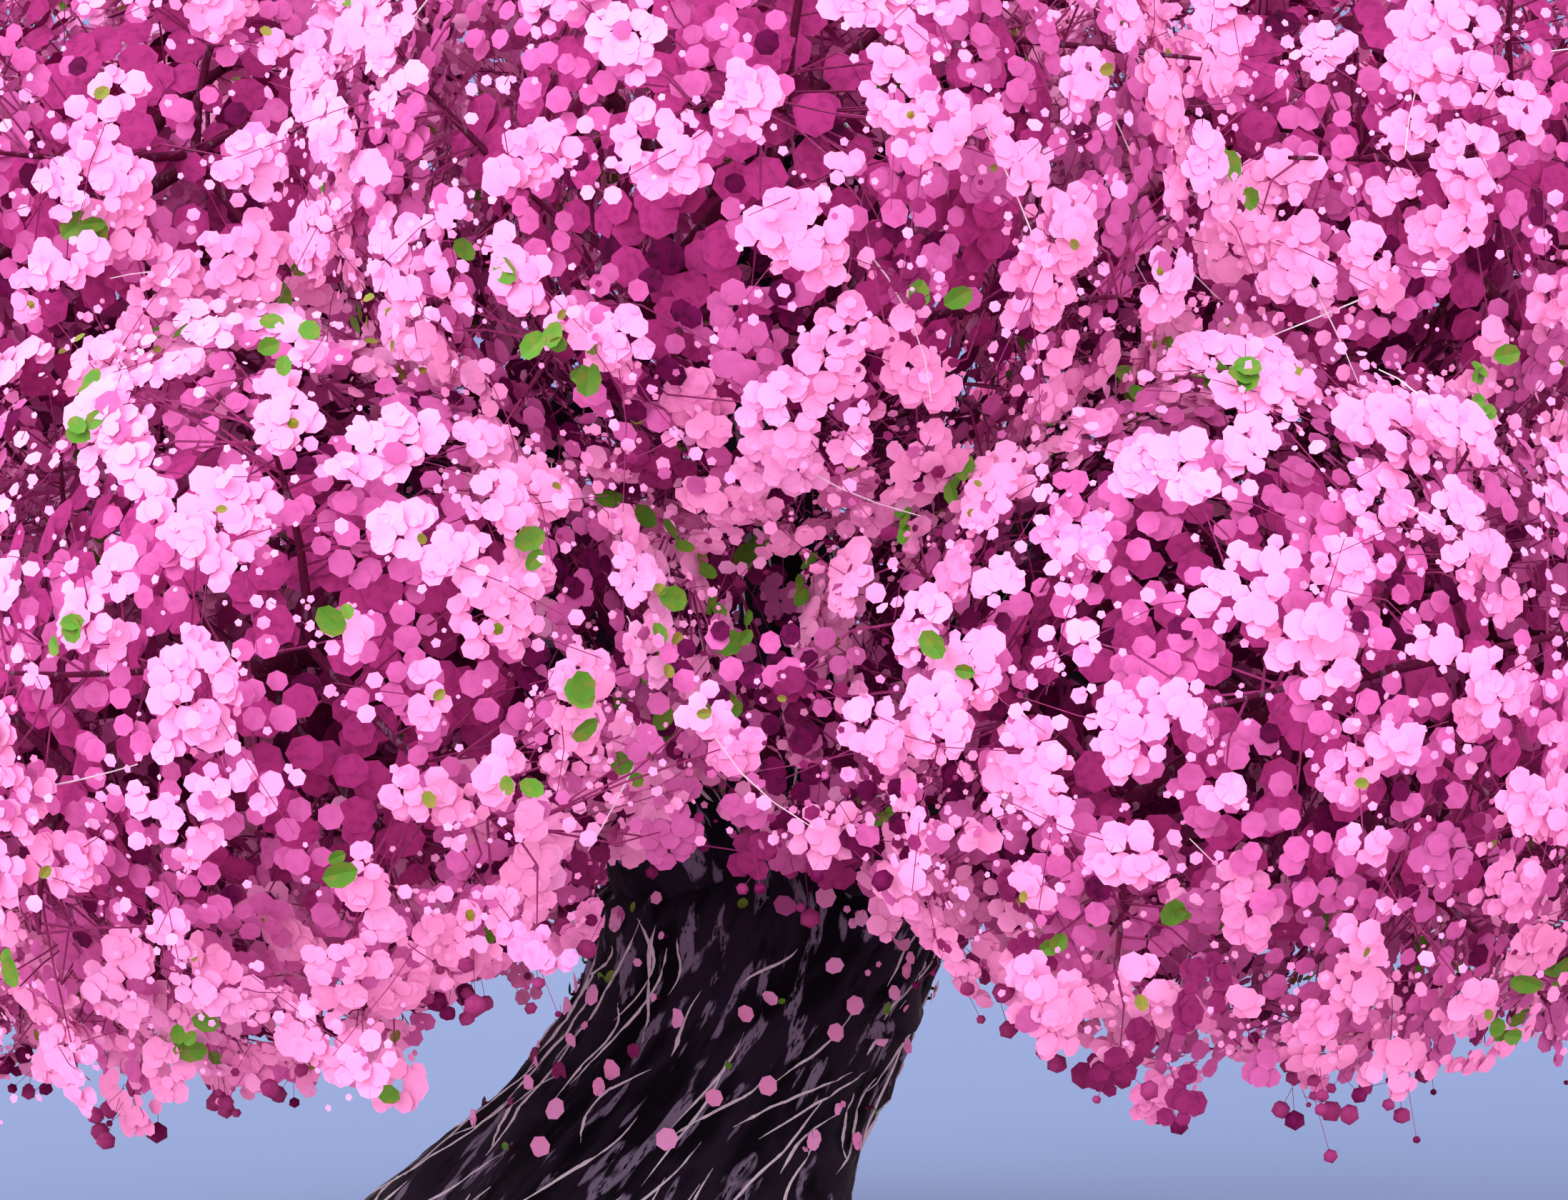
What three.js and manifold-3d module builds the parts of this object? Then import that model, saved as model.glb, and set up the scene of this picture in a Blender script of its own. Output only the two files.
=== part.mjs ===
// A cherry tree in full blossom: a short, stout, leaning trunk with a root flare, four boughs and
// a leader that fork low down, and a wide dome of blossom masses that hangs nearly to the ground.
// Millimetres, +Z up. The origin is the middle of the flat cut under the trunk, at ground level.
// The front of the tree faces -Y, and the trunk leans towards +X.

import * as THREE from "three";
import { mergeVertices } from "three/addons/utils/BufferGeometryUtils.js";
import Module from "manifold-3d";

const wasm = await Module();
wasm.setup();

// Trunk: it swings over to +X by the lean, and widens downwards from its neck into root lobes.
const FORK_HEIGHT = 940;
const TRUNK_LEAN = 430;
const NECK_RADIUS = 345;
const FLARE = 280;
const FLARE_HEIGHT = 850;
const FLARE_POWER = 1.4;
const ROOT_LOBES = 5;
const LOBE_DEPTH = 0.15;
const LOBE_HEIGHT = 520;
const CROTCH_RISE = 110;
const CROTCH_SHARE = 0.5;
const TRUNK_SIDES = 30;
const TRUNK_STEPS = 9;

// Boughs: each rises from the fork along points that are [out, up] from its heart.
const QUARTER = Math.PI / 2;
const FIRST_BOUGH = -0.75 * Math.PI;
const FORK_DEPTH = 160;
const BOUGH_PATH = [
  [150, 0],
  [470, 560],
  [810, 920],
];
const BOUGH_RADIUS = 165;
const BOUGH_TIP = 42;
const LEADER_RADIUS = 150;
const LEADER_PATH = [
  [0, 0, 0],
  [40, 50, 720],
  [-60, -30, 1520],
];

// Side limbs: how far along the parent each starts, and how high its arch is.
const LOW_STARTS = [0.46, 0.56];
const LOW_ARCH = 90;
const CROSS_START = 0.7;
const CROSS_ARCH = 60;
const SHOULDER_START = 0.5;
const SHOULDER_STEP = 0.07;
const SHOULDER_ARCH = 110;
const SIDE_SHARE = 0.78;
const SIDE_TIP = 30;

const LIMB_SIDES = 6;
const LIMB_STEPS = 5;
const LIMB_TAPER = 0.8;
const STUB_STEP = 0.02;
const STUB_GAP = 12;
const JOINT_GAP = 0.3;

// Crown: rings of masses round an axis over the fork. Each mass is an ellipsoid SQUASH as high
// as it is wide. The skirt's masses keep SKIRT_TURN to each side of their bough, which leaves the
// trunk in view between two of them, and each is raised by its own SKIRT_RISE.
const CROWN_AXIS_X = 420;
const SQUASH = 0.8;
const SKIRT = { ring: 1950, height: 1330, radius: 880 };
const SKIRT_TURN = 0.1 * Math.PI;
const SKIRT_RISE = [-60, 80, 20, 100, 0, 60, -20, 40];
const WAIST = { ring: 1740, height: 2290, radius: 900 };
const SHOULDER = { ring: 1120, height: 3180, radius: 1000 };
const TOP = { ring: 0, height: 3790, radius: 940 };
const SPACE_SLACK = 1.06;
const SPACE_GAP = 12;
const LIMB_GAP = 8;
const ENTRY = 0.8;

// What a mass holds: a lumpy core, a stem that branches into twigs, an open spray of blossom at
// the end of each twig, and tufts of blossom between them.
const CORE_SHARE = 0.68;
const CORE_LUMP = 0.14;
const CORE_SHRINK = 0.96;
const STEM_KNEE = 110;
const STEM_TIP = 14;
const BRANCHES = 6;
const BRANCH_REACH = 0.45;
const BRANCH_RADIUS = 22;
const TWIGS = 15;
const TWIG_REACHES = [0.9, 0.82, 0.74];
const TWIG_RADIUS = 16;
const TWIG_TIP = 8;
const PETALS = 5;
const FLOWER_RADIUS = 200;
const FLOWER_DEPTH = 46;
const PETAL_LIFT = 0.5;
const NOTCH_LIFT = -0.35;
const NOTCH_REACH = 0.52;
const TUFTS = 15;
const TUFT_TURN = 1;
const TUFT_LENGTH = 420;
const TUFT_RADIUS = 150;
const TUFT_ROOTS = [0.44, 0.36];
const SIZE_SPREAD = 0.3;
const DIRECTION_SPREAD = 0.6;
const MERGE_TOLERANCE = 6;
const SEED = 1907;

const UP = new THREE.Vector3(0, 0, 1);
const GOLDEN_ANGLE = Math.PI * (3 - Math.sqrt(5));

// The same numbers in the same order each time, from 0 to 1.
function seededRandom(seed) {
  let state = seed >>> 0;
  return () => {
    state = (Math.imul(state, 1664525) + 1013904223) >>> 0;
    return state / 4294967296;
  };
}

const smooth = (t) => t * t * (3 - 2 * t);
const sizeFrom = (random) => 1 + SIZE_SPREAD * (random() - 0.5);

// Directions spread evenly over a sphere, each turned a little out of its place.
function evenDirections(count, random) {
  return Array.from({ length: count }, (_, i) => {
    const level = 1 - (2 * (i + 0.5)) / count;
    const azimuth = i * GOLDEN_ANGLE + DIRECTION_SPREAD * random();
    const flat = Math.sqrt(1 - level * level);
    return new THREE.Vector3(flat * Math.cos(azimuth), flat * Math.sin(azimuth), level);
  });
}

function bareGeometry(geometry) {
  const bare = geometry.clone();
  bare.deleteAttribute("normal");
  bare.deleteAttribute("uv");
  return mergeVertices(bare, 1e-3);
}

// A closed three.js geometry as a solid.
function solidOf(geometry) {
  const bare = bareGeometry(geometry);
  const vertProperties = bare.attributes.position.array;
  const triVerts = new Uint32Array(bare.index.array);
  return new wasm.Manifold(new wasm.Mesh({ numProp: 3, vertProperties, triVerts }));
}

// Joins pieces, fills what the joining seals, and drops any loose scrap.
function fuse(pieces) {
  const whole = wasm.Manifold.union(pieces).asOriginal().simplify(MERGE_TOLERANCE);
  return whole.decompose().reduce((best, body) => (body.volume() > best.volume() ? body : best));
}

function meshOf(name, solid, material) {
  const { numProp, vertProperties, triVerts, numVert } = solid.getMesh();
  const position = new Float32Array(numVert * 3);
  for (let i = 0; i < numVert; i++) {
    position.set(vertProperties.subarray(i * numProp, i * numProp + 3), i * 3);
  }
  const geometry = new THREE.BufferGeometry();
  geometry.setAttribute("position", new THREE.BufferAttribute(position, 3));
  geometry.setIndex(new THREE.BufferAttribute(triVerts, 1));
  geometry.computeVertexNormals();
  const mesh = new THREE.Mesh(geometry, material);
  mesh.name = name;
  return mesh;
}

// A cylinder bent so that its axis follows the stations, each { at, along, side, radius }.
function tube(stations, sides) {
  const steps = stations.length - 1;
  const geometry = new THREE.CylinderGeometry(1, 1, 1, sides, steps);
  const position = geometry.attributes.position;
  const corner = new THREE.Vector3();
  for (let i = 0; i < position.count; i++) {
    const { at, along, side, radius } = stations[Math.round((position.getY(i) + 0.5) * steps)];
    const across = new THREE.Vector3().crossVectors(side, along);
    corner.copy(at);
    corner.addScaledVector(side, radius * position.getX(i));
    corner.addScaledVector(across, radius * position.getZ(i));
    position.setXYZ(i, corner.x, corner.y, corner.z);
  }
  return solidOf(geometry);
}

// A tapering limb along a curve. Its first stretch is fused to its parent as a stub, and the rest
// is a node of its own that starts JOINT_GAP further on.
class Limb {
  constructor(name, points, baseRadius, tipRadius) {
    this.name = name;
    this.curve = new THREE.CatmullRomCurve3(points, false, "centripetal");
    this.length = this.curve.getLength();
    this.baseRadius = baseRadius;
    this.tipRadius = tipRadius;
    this.stubs = [];
    const run = new THREE.Vector3().subVectors(points.at(-1), points[0]).setZ(0);
    this.side = run.cross(UP).normalize();
  }

  radiusAt(share) {
    return this.baseRadius + (this.tipRadius - this.baseRadius) * Math.pow(share, LIMB_TAPER);
  }

  station(share) {
    const along = this.curve.getTangentAt(share);
    const side = this.side.clone().addScaledVector(along, -this.side.dot(along)).normalize();
    return { at: this.curve.getPointAt(share), along, side, radius: this.radiusAt(share) };
  }

  stretch(from, to, steps) {
    const stations = [];
    for (let i = 0; i <= steps; i++) {
      stations.push(this.station(Math.min(1, from + ((to - from) * i) / steps)));
    }
    return tube(stations, LIMB_SIDES);
  }

  whole() {
    return this.stretch(0, 1, 2 * LIMB_STEPS);
  }

  // The stub, which ends where the rest of the limb is clear of the solids that it springs from.
  stubFrom(parents) {
    this.cut = STUB_STEP;
    while (this.stretch(this.cut, 1, LIMB_STEPS).minGap(parents, STUB_GAP) < STUB_GAP) {
      this.cut += STUB_STEP;
    }
    return this.stretch(0, this.cut, 2);
  }

  solid() {
    return fuse([this.stretch(this.cut + JOINT_GAP / this.length, 1, LIMB_STEPS), ...this.stubs]);
  }
}

// A space that a mass keeps to. Measured with heights divided by SQUASH it is a sphere, cut flat
// where it meets its neighbours.
class Space {
  constructor(name, tier, azimuth, rise) {
    this.name = name;
    this.radius = tier.radius;
    this.centre = new THREE.Vector3(
      CROWN_AXIS_X + tier.ring * Math.cos(azimuth),
      tier.ring * Math.sin(azimuth),
      tier.height + rise,
    );
    this.round = this.unsquashed(this.centre);
  }

  unsquashed(point) {
    return new THREE.Vector3(point.x, point.y, point.z / SQUASH);
  }

  // How far a point lies on this space's side of the plane between it and another.
  insideOf(other, point) {
    const q = this.unsquashed(point);
    const mine = q.distanceToSquared(this.round) - this.radius ** 2;
    const theirs = q.distanceToSquared(other.round) - other.radius ** 2;
    return (theirs - mine) / (2 * this.round.distanceTo(other.round));
  }

  holds(point, spaces) {
    if (this.unsquashed(point).distanceTo(this.round) > this.radius * SPACE_SLACK) return false;
    return spaces.every((other) => other === this || this.insideOf(other, point) > SPACE_GAP);
  }

  // The point at a share of the radius from the centre, along a direction.
  pointTowards(direction, share) {
    const reach = this.radius * share;
    return new THREE.Vector3(direction.x, direction.y, direction.z * SQUASH)
      .multiplyScalar(reach)
      .add(this.centre);
  }

  outwardAt(direction) {
    return this.pointTowards(direction, 1).sub(this.centre).normalize();
  }

  // Where a limb that comes from a point enters this space.
  entryFrom(point) {
    return this.pointTowards(this.unsquashed(point).sub(this.round).normalize(), ENTRY);
  }
}

// The spaces of the crown by name. Each bough has two in the skirt, one in the waist at its end,
// one more between that and the next bough's, and a shoulder above.
function crownSpaces() {
  const spaces = {};
  const add = (name, tier, azimuth, rise = 0) => {
    spaces[name] = new Space(name, tier, azimuth, rise);
  };
  for (let k = 0; k < 4; k++) {
    const azimuth = FIRST_BOUGH + k * QUARTER;
    for (const i of [2 * k, 2 * k + 1]) {
      const turned = azimuth + SKIRT_TURN * (i % 2 ? 1 : -1);
      add(`blossom_skirt_${i + 1}`, SKIRT, turned, SKIRT_RISE[i]);
    }
    add(`blossom_waist_${2 * k + 1}`, WAIST, azimuth);
    add(`blossom_waist_${2 * k + 2}`, WAIST, azimuth + QUARTER / 2);
    add(`blossom_shoulder_${k + 1}`, SHOULDER, azimuth + QUARTER / 4);
  }
  add("blossom_top", TOP, 0);
  return spaces;
}

const forkHeart = () => new THREE.Vector3(TRUNK_LEAN, 0, FORK_HEIGHT - FORK_DEPTH);

function boughLimb(k, space) {
  const azimuth = FIRST_BOUGH + k * QUARTER;
  const points = BOUGH_PATH.map(([out, up]) =>
    forkHeart().add(new THREE.Vector3(out * Math.cos(azimuth), out * Math.sin(azimuth), up)),
  );
  points.push(space.entryFrom(points.at(-1)));
  return new Limb(`bough_${k + 1}`, points, BOUGH_RADIUS, BOUGH_TIP);
}

function leaderLimb(space) {
  const points = LEADER_PATH.map((step) => forkHeart().add(new THREE.Vector3(...step)));
  points.push(space.entryFrom(points.at(-1)));
  return new Limb("leader", points, LEADER_RADIUS, BOUGH_TIP);
}

// A limb that springs from its parent part way along, and arches over into a mass.
function sideLimb(name, parent, share, space, arch) {
  const start = parent.curve.getPointAt(share);
  const rise = new THREE.Vector3(0, 0, arch);
  const entry = space.entryFrom(start.clone().add(rise));
  const middle = start.clone().lerp(entry, 0.5).add(rise);
  const limb = new Limb(name, [start, middle, entry], parent.radiusAt(share) * SIDE_SHARE, SIDE_TIP);
  parent.stubs.push(limb.stubFrom(parent.whole()));
  return limb;
}

// All limbs, each with the space that it carries, and the stubs that are fused to the trunk.
function growLimbs(spaces, bareTrunk) {
  const grown = [];
  for (let k = 0; k < 4; k++) {
    const space = spaces[`blossom_waist_${2 * k + 1}`];
    grown.push({ limb: boughLimb(k, space), space });
  }
  grown.push({ limb: leaderLimb(spaces.blossom_top), space: spaces.blossom_top });
  const mains = grown.map(({ limb }) => limb);
  const wholes = mains.map((limb) => limb.whole());
  const trunkStubs = mains.map((limb, i) => {
    const others = wholes.filter((_, j) => j !== i);
    return limb.stubFrom(wasm.Manifold.union([bareTrunk, ...others]));
  });
  const addSide = (name, parent, share, space, arch) => {
    grown.push({ limb: sideLimb(name, parent, share, space, arch), space });
  };
  const leader = mains.at(-1);
  for (let k = 0; k < 4; k++) {
    const bough = mains[k];
    LOW_STARTS.forEach((share, i) => {
      const skirt = spaces[`blossom_skirt_${2 * k + i + 1}`];
      addSide(`bough_${k + 1}_low_${i + 1}`, bough, share, skirt, LOW_ARCH);
    });
    const between = spaces[`blossom_waist_${2 * k + 2}`];
    addSide(`bough_${k + 1}_cross`, bough, CROSS_START, between, CROSS_ARCH);
    const shoulder = spaces[`blossom_shoulder_${k + 1}`];
    const share = SHOULDER_START + SHOULDER_STEP * k;
    addSide(`leader_side_${k + 1}`, leader, share, shoulder, SHOULDER_ARCH);
  }
  return { grown, trunkStubs };
}

// The bare trunk. Its top ring closes in over the fork, where the boughs' stubs cover it.
function trunkBody() {
  const rings = TRUNK_STEPS + 1;
  const geometry = new THREE.CylinderGeometry(1, 1, 1, TRUNK_SIDES, rings);
  const position = geometry.attributes.position;
  for (let i = 0; i < position.count; i++) {
    const ring = Math.round((position.getY(i) + 0.5) * rings);
    const crotch = ring === rings;
    const height = crotch ? FORK_HEIGHT + CROTCH_RISE : (FORK_HEIGHT * ring) / TRUNK_STEPS;
    const flare = FLARE * Math.pow(Math.max(0, 1 - height / FLARE_HEIGHT), FLARE_POWER);
    const lobe = LOBE_DEPTH * Math.sqrt(Math.max(0, 1 - height / LOBE_HEIGHT));
    const angle = Math.atan2(position.getZ(i), position.getX(i));
    const rim = Math.hypot(position.getX(i), position.getZ(i)) > 0.5;
    const wide = (NECK_RADIUS + flare) * (1 - lobe * Math.cos(ROOT_LOBES * angle));
    const radius = rim ? wide * (crotch ? CROTCH_SHARE : 1) : 0;
    const lean = TRUNK_LEAN * smooth(Math.min(1, height / FORK_HEIGHT));
    position.setXYZ(i, lean + radius * Math.cos(angle), -radius * Math.sin(angle), height);
  }
  return solidOf(geometry);
}

// Turns a piece made round +Z so that it points along a direction from a place.
function placed(geometry, place, direction) {
  const turn = new THREE.Quaternion().setFromUnitVectors(UP, direction);
  return geometry.applyQuaternion(turn).translate(place.x, place.y, place.z);
}

// An open five-petalled bloom that stands for a whole spray. Its petals' tips lift forwards, and
// the notches between them lie further back and further in.
function flower(place, direction, size, spin) {
  const geometry = new THREE.SphereGeometry(1, 2 * PETALS, 2);
  geometry.rotateX(QUARTER);
  geometry.rotateZ(spin);
  const position = geometry.attributes.position;
  for (let i = 0; i < position.count; i++) {
    const x = position.getX(i);
    const y = position.getY(i);
    const rim = Math.hypot(x, y) > 0.5;
    const petal = Math.cos((Math.atan2(y, x) - spin) * PETALS) > 0;
    const reach = FLOWER_RADIUS * (petal ? 1 : NOTCH_REACH);
    const lift = petal ? PETAL_LIFT : NOTCH_LIFT;
    position.setXYZ(i, x * reach, y * reach, FLOWER_DEPTH * (rim ? lift : position.getZ(i)));
  }
  return placed(geometry.scale(size, size, size), place, direction);
}

// A plump tuft of blossom with its root at a place.
function tuft(place, direction, size) {
  const geometry = new THREE.OctahedronGeometry(1);
  geometry.scale(TUFT_RADIUS, TUFT_RADIUS, TUFT_LENGTH / 2);
  geometry.translate(0, 0, TUFT_LENGTH / 2);
  return placed(geometry.scale(size, size, size), place, direction);
}

function twig(from, to, baseRadius, tipRadius) {
  const along = to.clone().sub(from).normalize();
  const side = new THREE.Vector3(along.y, -along.x, 0).normalize();
  if (side.length() === 0) side.set(1, 0, 0);
  const base = { at: from, along, side, radius: baseRadius };
  const tip = { at: to, along, side, radius: tipRadius };
  return tube([base, tip], 3);
}

// The stem runs on from its limb's tip, JOINT_GAP clear of it, to the heart of the space.
function stem(limb, heart) {
  const tip = limb.station(1);
  const base = tip.at.clone().addScaledVector(tip.along, JOINT_GAP);
  const knee = base.clone().addScaledVector(tip.along, STEM_KNEE);
  return tube(
    [
      { ...tip, at: base },
      { ...tip, at: knee, radius: (tip.radius + STEM_TIP) / 2 },
      { ...tip, at: heart, radius: STEM_TIP },
    ],
    3,
  );
}

// A lumpy ball that stays inside its space.
function core(space, spaces, random) {
  const geometry = bareGeometry(new THREE.IcosahedronGeometry(1, 1));
  const position = geometry.attributes.position;
  for (let i = 0; i < position.count; i++) {
    const direction = new THREE.Vector3().fromBufferAttribute(position, i).normalize();
    let share = CORE_SHARE * (1 + CORE_LUMP * (2 * random() - 1));
    while (!space.holds(space.pointTowards(direction, share), spaces)) share *= CORE_SHRINK;
    const point = space.pointTowards(direction, share);
    position.setXYZ(i, point.x, point.y, point.z);
  }
  return solidOf(geometry);
}

function isClear(geometry, space, spaces, wood) {
  const position = geometry.attributes.position;
  const corner = new THREE.Vector3();
  for (let i = 0; i < position.count; i++) {
    if (!space.holds(corner.fromBufferAttribute(position, i), spaces)) return false;
  }
  return solidOf(geometry).minGap(wood, LIMB_GAP) >= LIMB_GAP;
}

// One mass of blossom. The stem branches inside the core, each twig leaves the nearest branch,
// and a spray or tuft that would leave the space or touch a limb is skipped.
function growMass(space, spaces, limb, wood, random) {
  const heart = space.centre;
  const pieces = [core(space, spaces, random), stem(limb, heart)];
  const branches = evenDirections(BRANCHES, random).map((direction) =>
    space.pointTowards(direction, BRANCH_REACH),
  );
  branches.forEach((end) => pieces.push(twig(heart, end, BRANCH_RADIUS, TWIG_RADIUS)));
  for (const direction of evenDirections(TWIGS, random)) {
    const outward = space.outwardAt(direction);
    const size = sizeFrom(random);
    const spin = random() * QUARTER;
    const bloomAt = (place) => flower(place, outward, size, spin);
    const places = TWIG_REACHES.map((reach) => space.pointTowards(direction, reach));
    const end = places.find((place) => isClear(bloomAt(place), space, spaces, wood));
    if (!end) continue;
    const nearest = branches.reduce((a, b) => (a.distanceTo(end) < b.distanceTo(end) ? a : b));
    pieces.push(twig(nearest, end, TWIG_RADIUS, TWIG_TIP), solidOf(bloomAt(end)));
  }
  for (const direction of evenDirections(TUFTS, random)) {
    const turned = direction.applyAxisAngle(UP, TUFT_TURN);
    const outward = space.outwardAt(turned);
    const size = sizeFrom(random);
    const tufts = TUFT_ROOTS.map((share) => tuft(space.pointTowards(turned, share), outward, size));
    const fitting = tufts.find((piece) => isClear(piece, space, spaces, wood));
    if (fitting) pieces.push(solidOf(fitting));
  }
  return fuse(pieces);
}

const bark = new THREE.MeshStandardMaterial({ color: 0x241c26, roughness: 0.9, metalness: 0 });
const blossom = new THREE.MeshStandardMaterial({ color: 0xf08ccb, roughness: 0.8, metalness: 0 });

const tree = new THREE.Group();
const spaces = crownSpaces();
const bareTrunk = trunkBody();
const { grown, trunkStubs } = growLimbs(spaces, bareTrunk);
const trunk = fuse([bareTrunk, ...trunkStubs]);
tree.add(meshOf("trunk", trunk, bark));
const limbSolids = grown.map(({ limb }) => limb.solid());
grown.forEach(({ limb }, i) => tree.add(meshOf(limb.name, limbSolids[i], bark)));
const wood = wasm.Manifold.union([trunk, ...limbSolids]);
grown.forEach(({ limb, space }, i) => {
  const random = seededRandom(SEED + i);
  const mass = growMass(space, Object.values(spaces), limb, wood, random);
  tree.add(meshOf(space.name, mass, blossom));
});

export default tree;
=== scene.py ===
import math

import bpy
import numpy as np
from bpy.props import FloatProperty, FloatVectorProperty, IntProperty, PointerProperty
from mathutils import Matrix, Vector


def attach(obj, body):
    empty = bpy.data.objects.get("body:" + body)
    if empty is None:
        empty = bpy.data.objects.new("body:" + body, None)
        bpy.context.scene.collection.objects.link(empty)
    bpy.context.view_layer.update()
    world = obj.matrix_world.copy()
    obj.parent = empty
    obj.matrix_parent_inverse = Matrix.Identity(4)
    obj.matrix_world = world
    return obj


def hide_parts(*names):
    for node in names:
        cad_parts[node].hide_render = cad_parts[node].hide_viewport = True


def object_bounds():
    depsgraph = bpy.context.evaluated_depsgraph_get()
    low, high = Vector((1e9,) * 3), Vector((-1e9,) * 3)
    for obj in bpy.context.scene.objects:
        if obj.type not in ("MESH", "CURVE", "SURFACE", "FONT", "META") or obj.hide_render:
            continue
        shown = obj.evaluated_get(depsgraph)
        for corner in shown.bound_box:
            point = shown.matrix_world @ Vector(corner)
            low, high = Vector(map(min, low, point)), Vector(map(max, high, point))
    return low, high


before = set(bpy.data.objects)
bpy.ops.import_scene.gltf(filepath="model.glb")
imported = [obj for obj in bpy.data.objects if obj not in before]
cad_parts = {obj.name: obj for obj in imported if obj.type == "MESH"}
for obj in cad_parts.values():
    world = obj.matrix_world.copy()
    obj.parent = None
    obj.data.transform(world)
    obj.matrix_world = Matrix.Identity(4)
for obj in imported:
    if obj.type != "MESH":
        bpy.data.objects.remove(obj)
CAD_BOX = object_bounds()

bl_info = {
    "name": "Cherry Tree in Blossom",
    "version": (1, 0, 0),
    "blender": (4, 5, 0),
    "location": "3D View > Sidebar > Cherry Tree",
    "description": "Grows bark, twigs, blossom and young leaves on the cherry tree's trunk and boughs",
    "category": "Object",
}

# Metres. The front of the tree faces -Y, and the trunk leans towards +X. A scatter is the spread of
# random places or directions, and a crowding the power that makes most of the random shares small.

# Trunk, as in the solids.
FORK_HEIGHT = 0.94
TRUNK_LEAN = 0.43
NECK_RADIUS = 0.345
FLARE = 0.28
FLARE_HEIGHT = 0.85
FLARE_POWER = 1.4
ROOT_LOBES = 5
LOBE_DEPTH = 0.15
LOBE_HEIGHT = 0.52
CROTCH_RISE = 0.11
CROTCH_CLOSES = 0.97
TRUNK_TOP = FORK_HEIGHT + CROTCH_RISE

# The trunk swells under the boughs, and each limb has a collar where it leaves its parent, which
# dies away over its reach in radii.
BOUGHS = 4
SWELL = 0.05
SWELL_START = 0.6
SWELL_WAVE = 0.4
COLLAR = 0.35
COLLAR_REACH = 1.2

# How finely the bark is divided, and the pale lines on it.
BARK_RADIUS = 0.42
TRUNK_SIDES = 200
TRUNK_RINGS = 72
DOME_RINGS = 12
THICK_LIMB = 0.14
THICK_SIDES_AND_RINGS = (28, 56)
THIN_SIDES_AND_RINGS = (14, 18)
THICK_RELIEF = 0.6
THIN_RELIEF = 0.3
TRUNK_LINES_TOP = 0.9
LIMB_LINES_TOP = 0.7
LIMB_LINES = 22
LIMB_LINE_SHARE = 0.8
LINE_STEPS = 16
LINE_LENGTHS = (0.06, 0.3)

# How the pale lines run, in turns round the limb: each leans by a middle value with its spread, a
# few lean further, and all bend. They start past a share of the limb's length, taper towards their
# ends, and stand proud by a share of their width.
LINE_START = 0.01
LINE_LEAN = (0.02, 0.018)
STEEP_LEAN = 0.07
STEEP_LEAN_SHARE = 0.12
LINE_BEND = 0.008
LINE_CURL = 0.0025
LINE_ENDS = (0.03, 0.97)
LINE_LIFT = 0.45

# Limbs, as in the solids: [out, up] from the fork's heart, and shares of the parent's length.
QUARTER = math.pi / 2
FIRST_BOUGH = -0.75 * math.pi
FORK_HEART = np.array([TRUNK_LEAN, 0, FORK_HEIGHT - 0.16])
BOUGH_PATH = [(0.15, 0), (0.47, 0.56), (0.81, 0.92)]
BOUGH_RADIUS = 0.165
BOUGH_TIP = 0.042
LEADER_RADIUS = 0.15
LEADER_PATH = [(0, 0, 0), (0.04, 0.05, 0.72), (-0.06, -0.03, 1.52)]
LOW_STARTS = [0.46, 0.56]
LOW_ARCH = 0.09
CROSS_START = 0.7
CROSS_ARCH = 0.06
SHOULDER_START = 0.5
SHOULDER_STEP = 0.07
SHOULDER_ARCH = 0.11
SIDE_SHARE = 0.78
SIDE_TIP = 0.03
LIMB_TAPER = 0.8
CURVE_STEPS = 40

# Crown, as in the solids: each tier is (ring, height, radius) of its masses.
CROWN_AXIS_X = 0.42
SQUASH = 0.8
SKIRT = (1.95, 1.33, 0.88)
SKIRT_TURN = 0.1 * math.pi
SKIRT_RISE = [-0.06, 0.08, 0.02, 0.1, 0, 0.06, -0.02, 0.04]
WAIST = (1.74, 2.29, 0.9)
SHOULDER = (1.12, 3.18, 1.0)
TOP = (0, 3.79, 0.94)
SPACE_GAP = 0.012
ENTRY = 0.8

# Twigs, as in the solids, down to the ones that carry the sprays.
CORE_CORNERS = 42
BRANCHES = 6
BRANCH_REACH = 0.45
TWIGS = 15
TWIG_REACH = 0.9
STEM_TIP = 0.014
BRANCH_RADIUS = 0.018
TWIG_RADIUS = 0.01
TWIG_TIP = 0.006
TWIGLET_RADII = (0.003, 0.0012)
SHOOT_RADII = (0.0013, 0.0008)
PALE_SHOOT_RADII = (0.0019, 0.001)
TWIG_NEIGHBOUR_GAP = 0.06
SHORTEST_TWIG = 0.1
DIRECTION_SPREAD = 0.6
SEED = 1907
GOLDEN_ANGLE = math.pi * (3 - math.sqrt(5))

# The wood inside the masses: how far it bends, its tips against the solids', and the sides of its
# tubes. Twiglets leave branches and limbs past their first, bare points, from the nearest point,
# and one further out counts as further away.
STEM_RISE = 0.05
STEM_STEPS = 8
BRANCH_BEND = 0.04
TWIG_BEND = 0.05
TWIG_STEPS = 16
TUBE_STRIDE = 3
STEM_THICKENS = 1.7
TWIG_THINS = 0.6
STEM_SIDES = 8
BRANCH_SIDES = 6
TWIG_SIDES = 5
FINE_SIDES = 3
SPUR_SIDES = 4
BARE_BRANCH = 6
BARE_LIMB = 20
LIMB_STRIDE = 4
FURTHER_OUT = 0.4
TWIGLET_BEND = 0.15
TWIGLET_RISE = 0.03

# The arch that the lowest sprays leave open over the trunk, seen from each of the four sides
# between two boughs: distances from the middle of the side, and the lowest height at each. It
# hangs lower towards +X.
ARCH_SIDE = (0.22, 0.3, 0.45, 0.6, 0.7)
ARCH_HEIGHT = (1.1, 0.95, 0.88, 0.8, 0.0)
ARCH_TILT = 0.1
CURTAIN_SPRAYS = 26
CURTAIN_SIDE = 0.5
CURTAIN_RING = (1.15, 1.95)
CURTAIN_TOP = 1.75
# Painted shade that deepens the tones of the curtain sprays.
CURTAIN_SHADE = 0.2
CURTAIN_LIFT = 0.02
CURTAIN_SCATTER = 0.3
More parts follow.
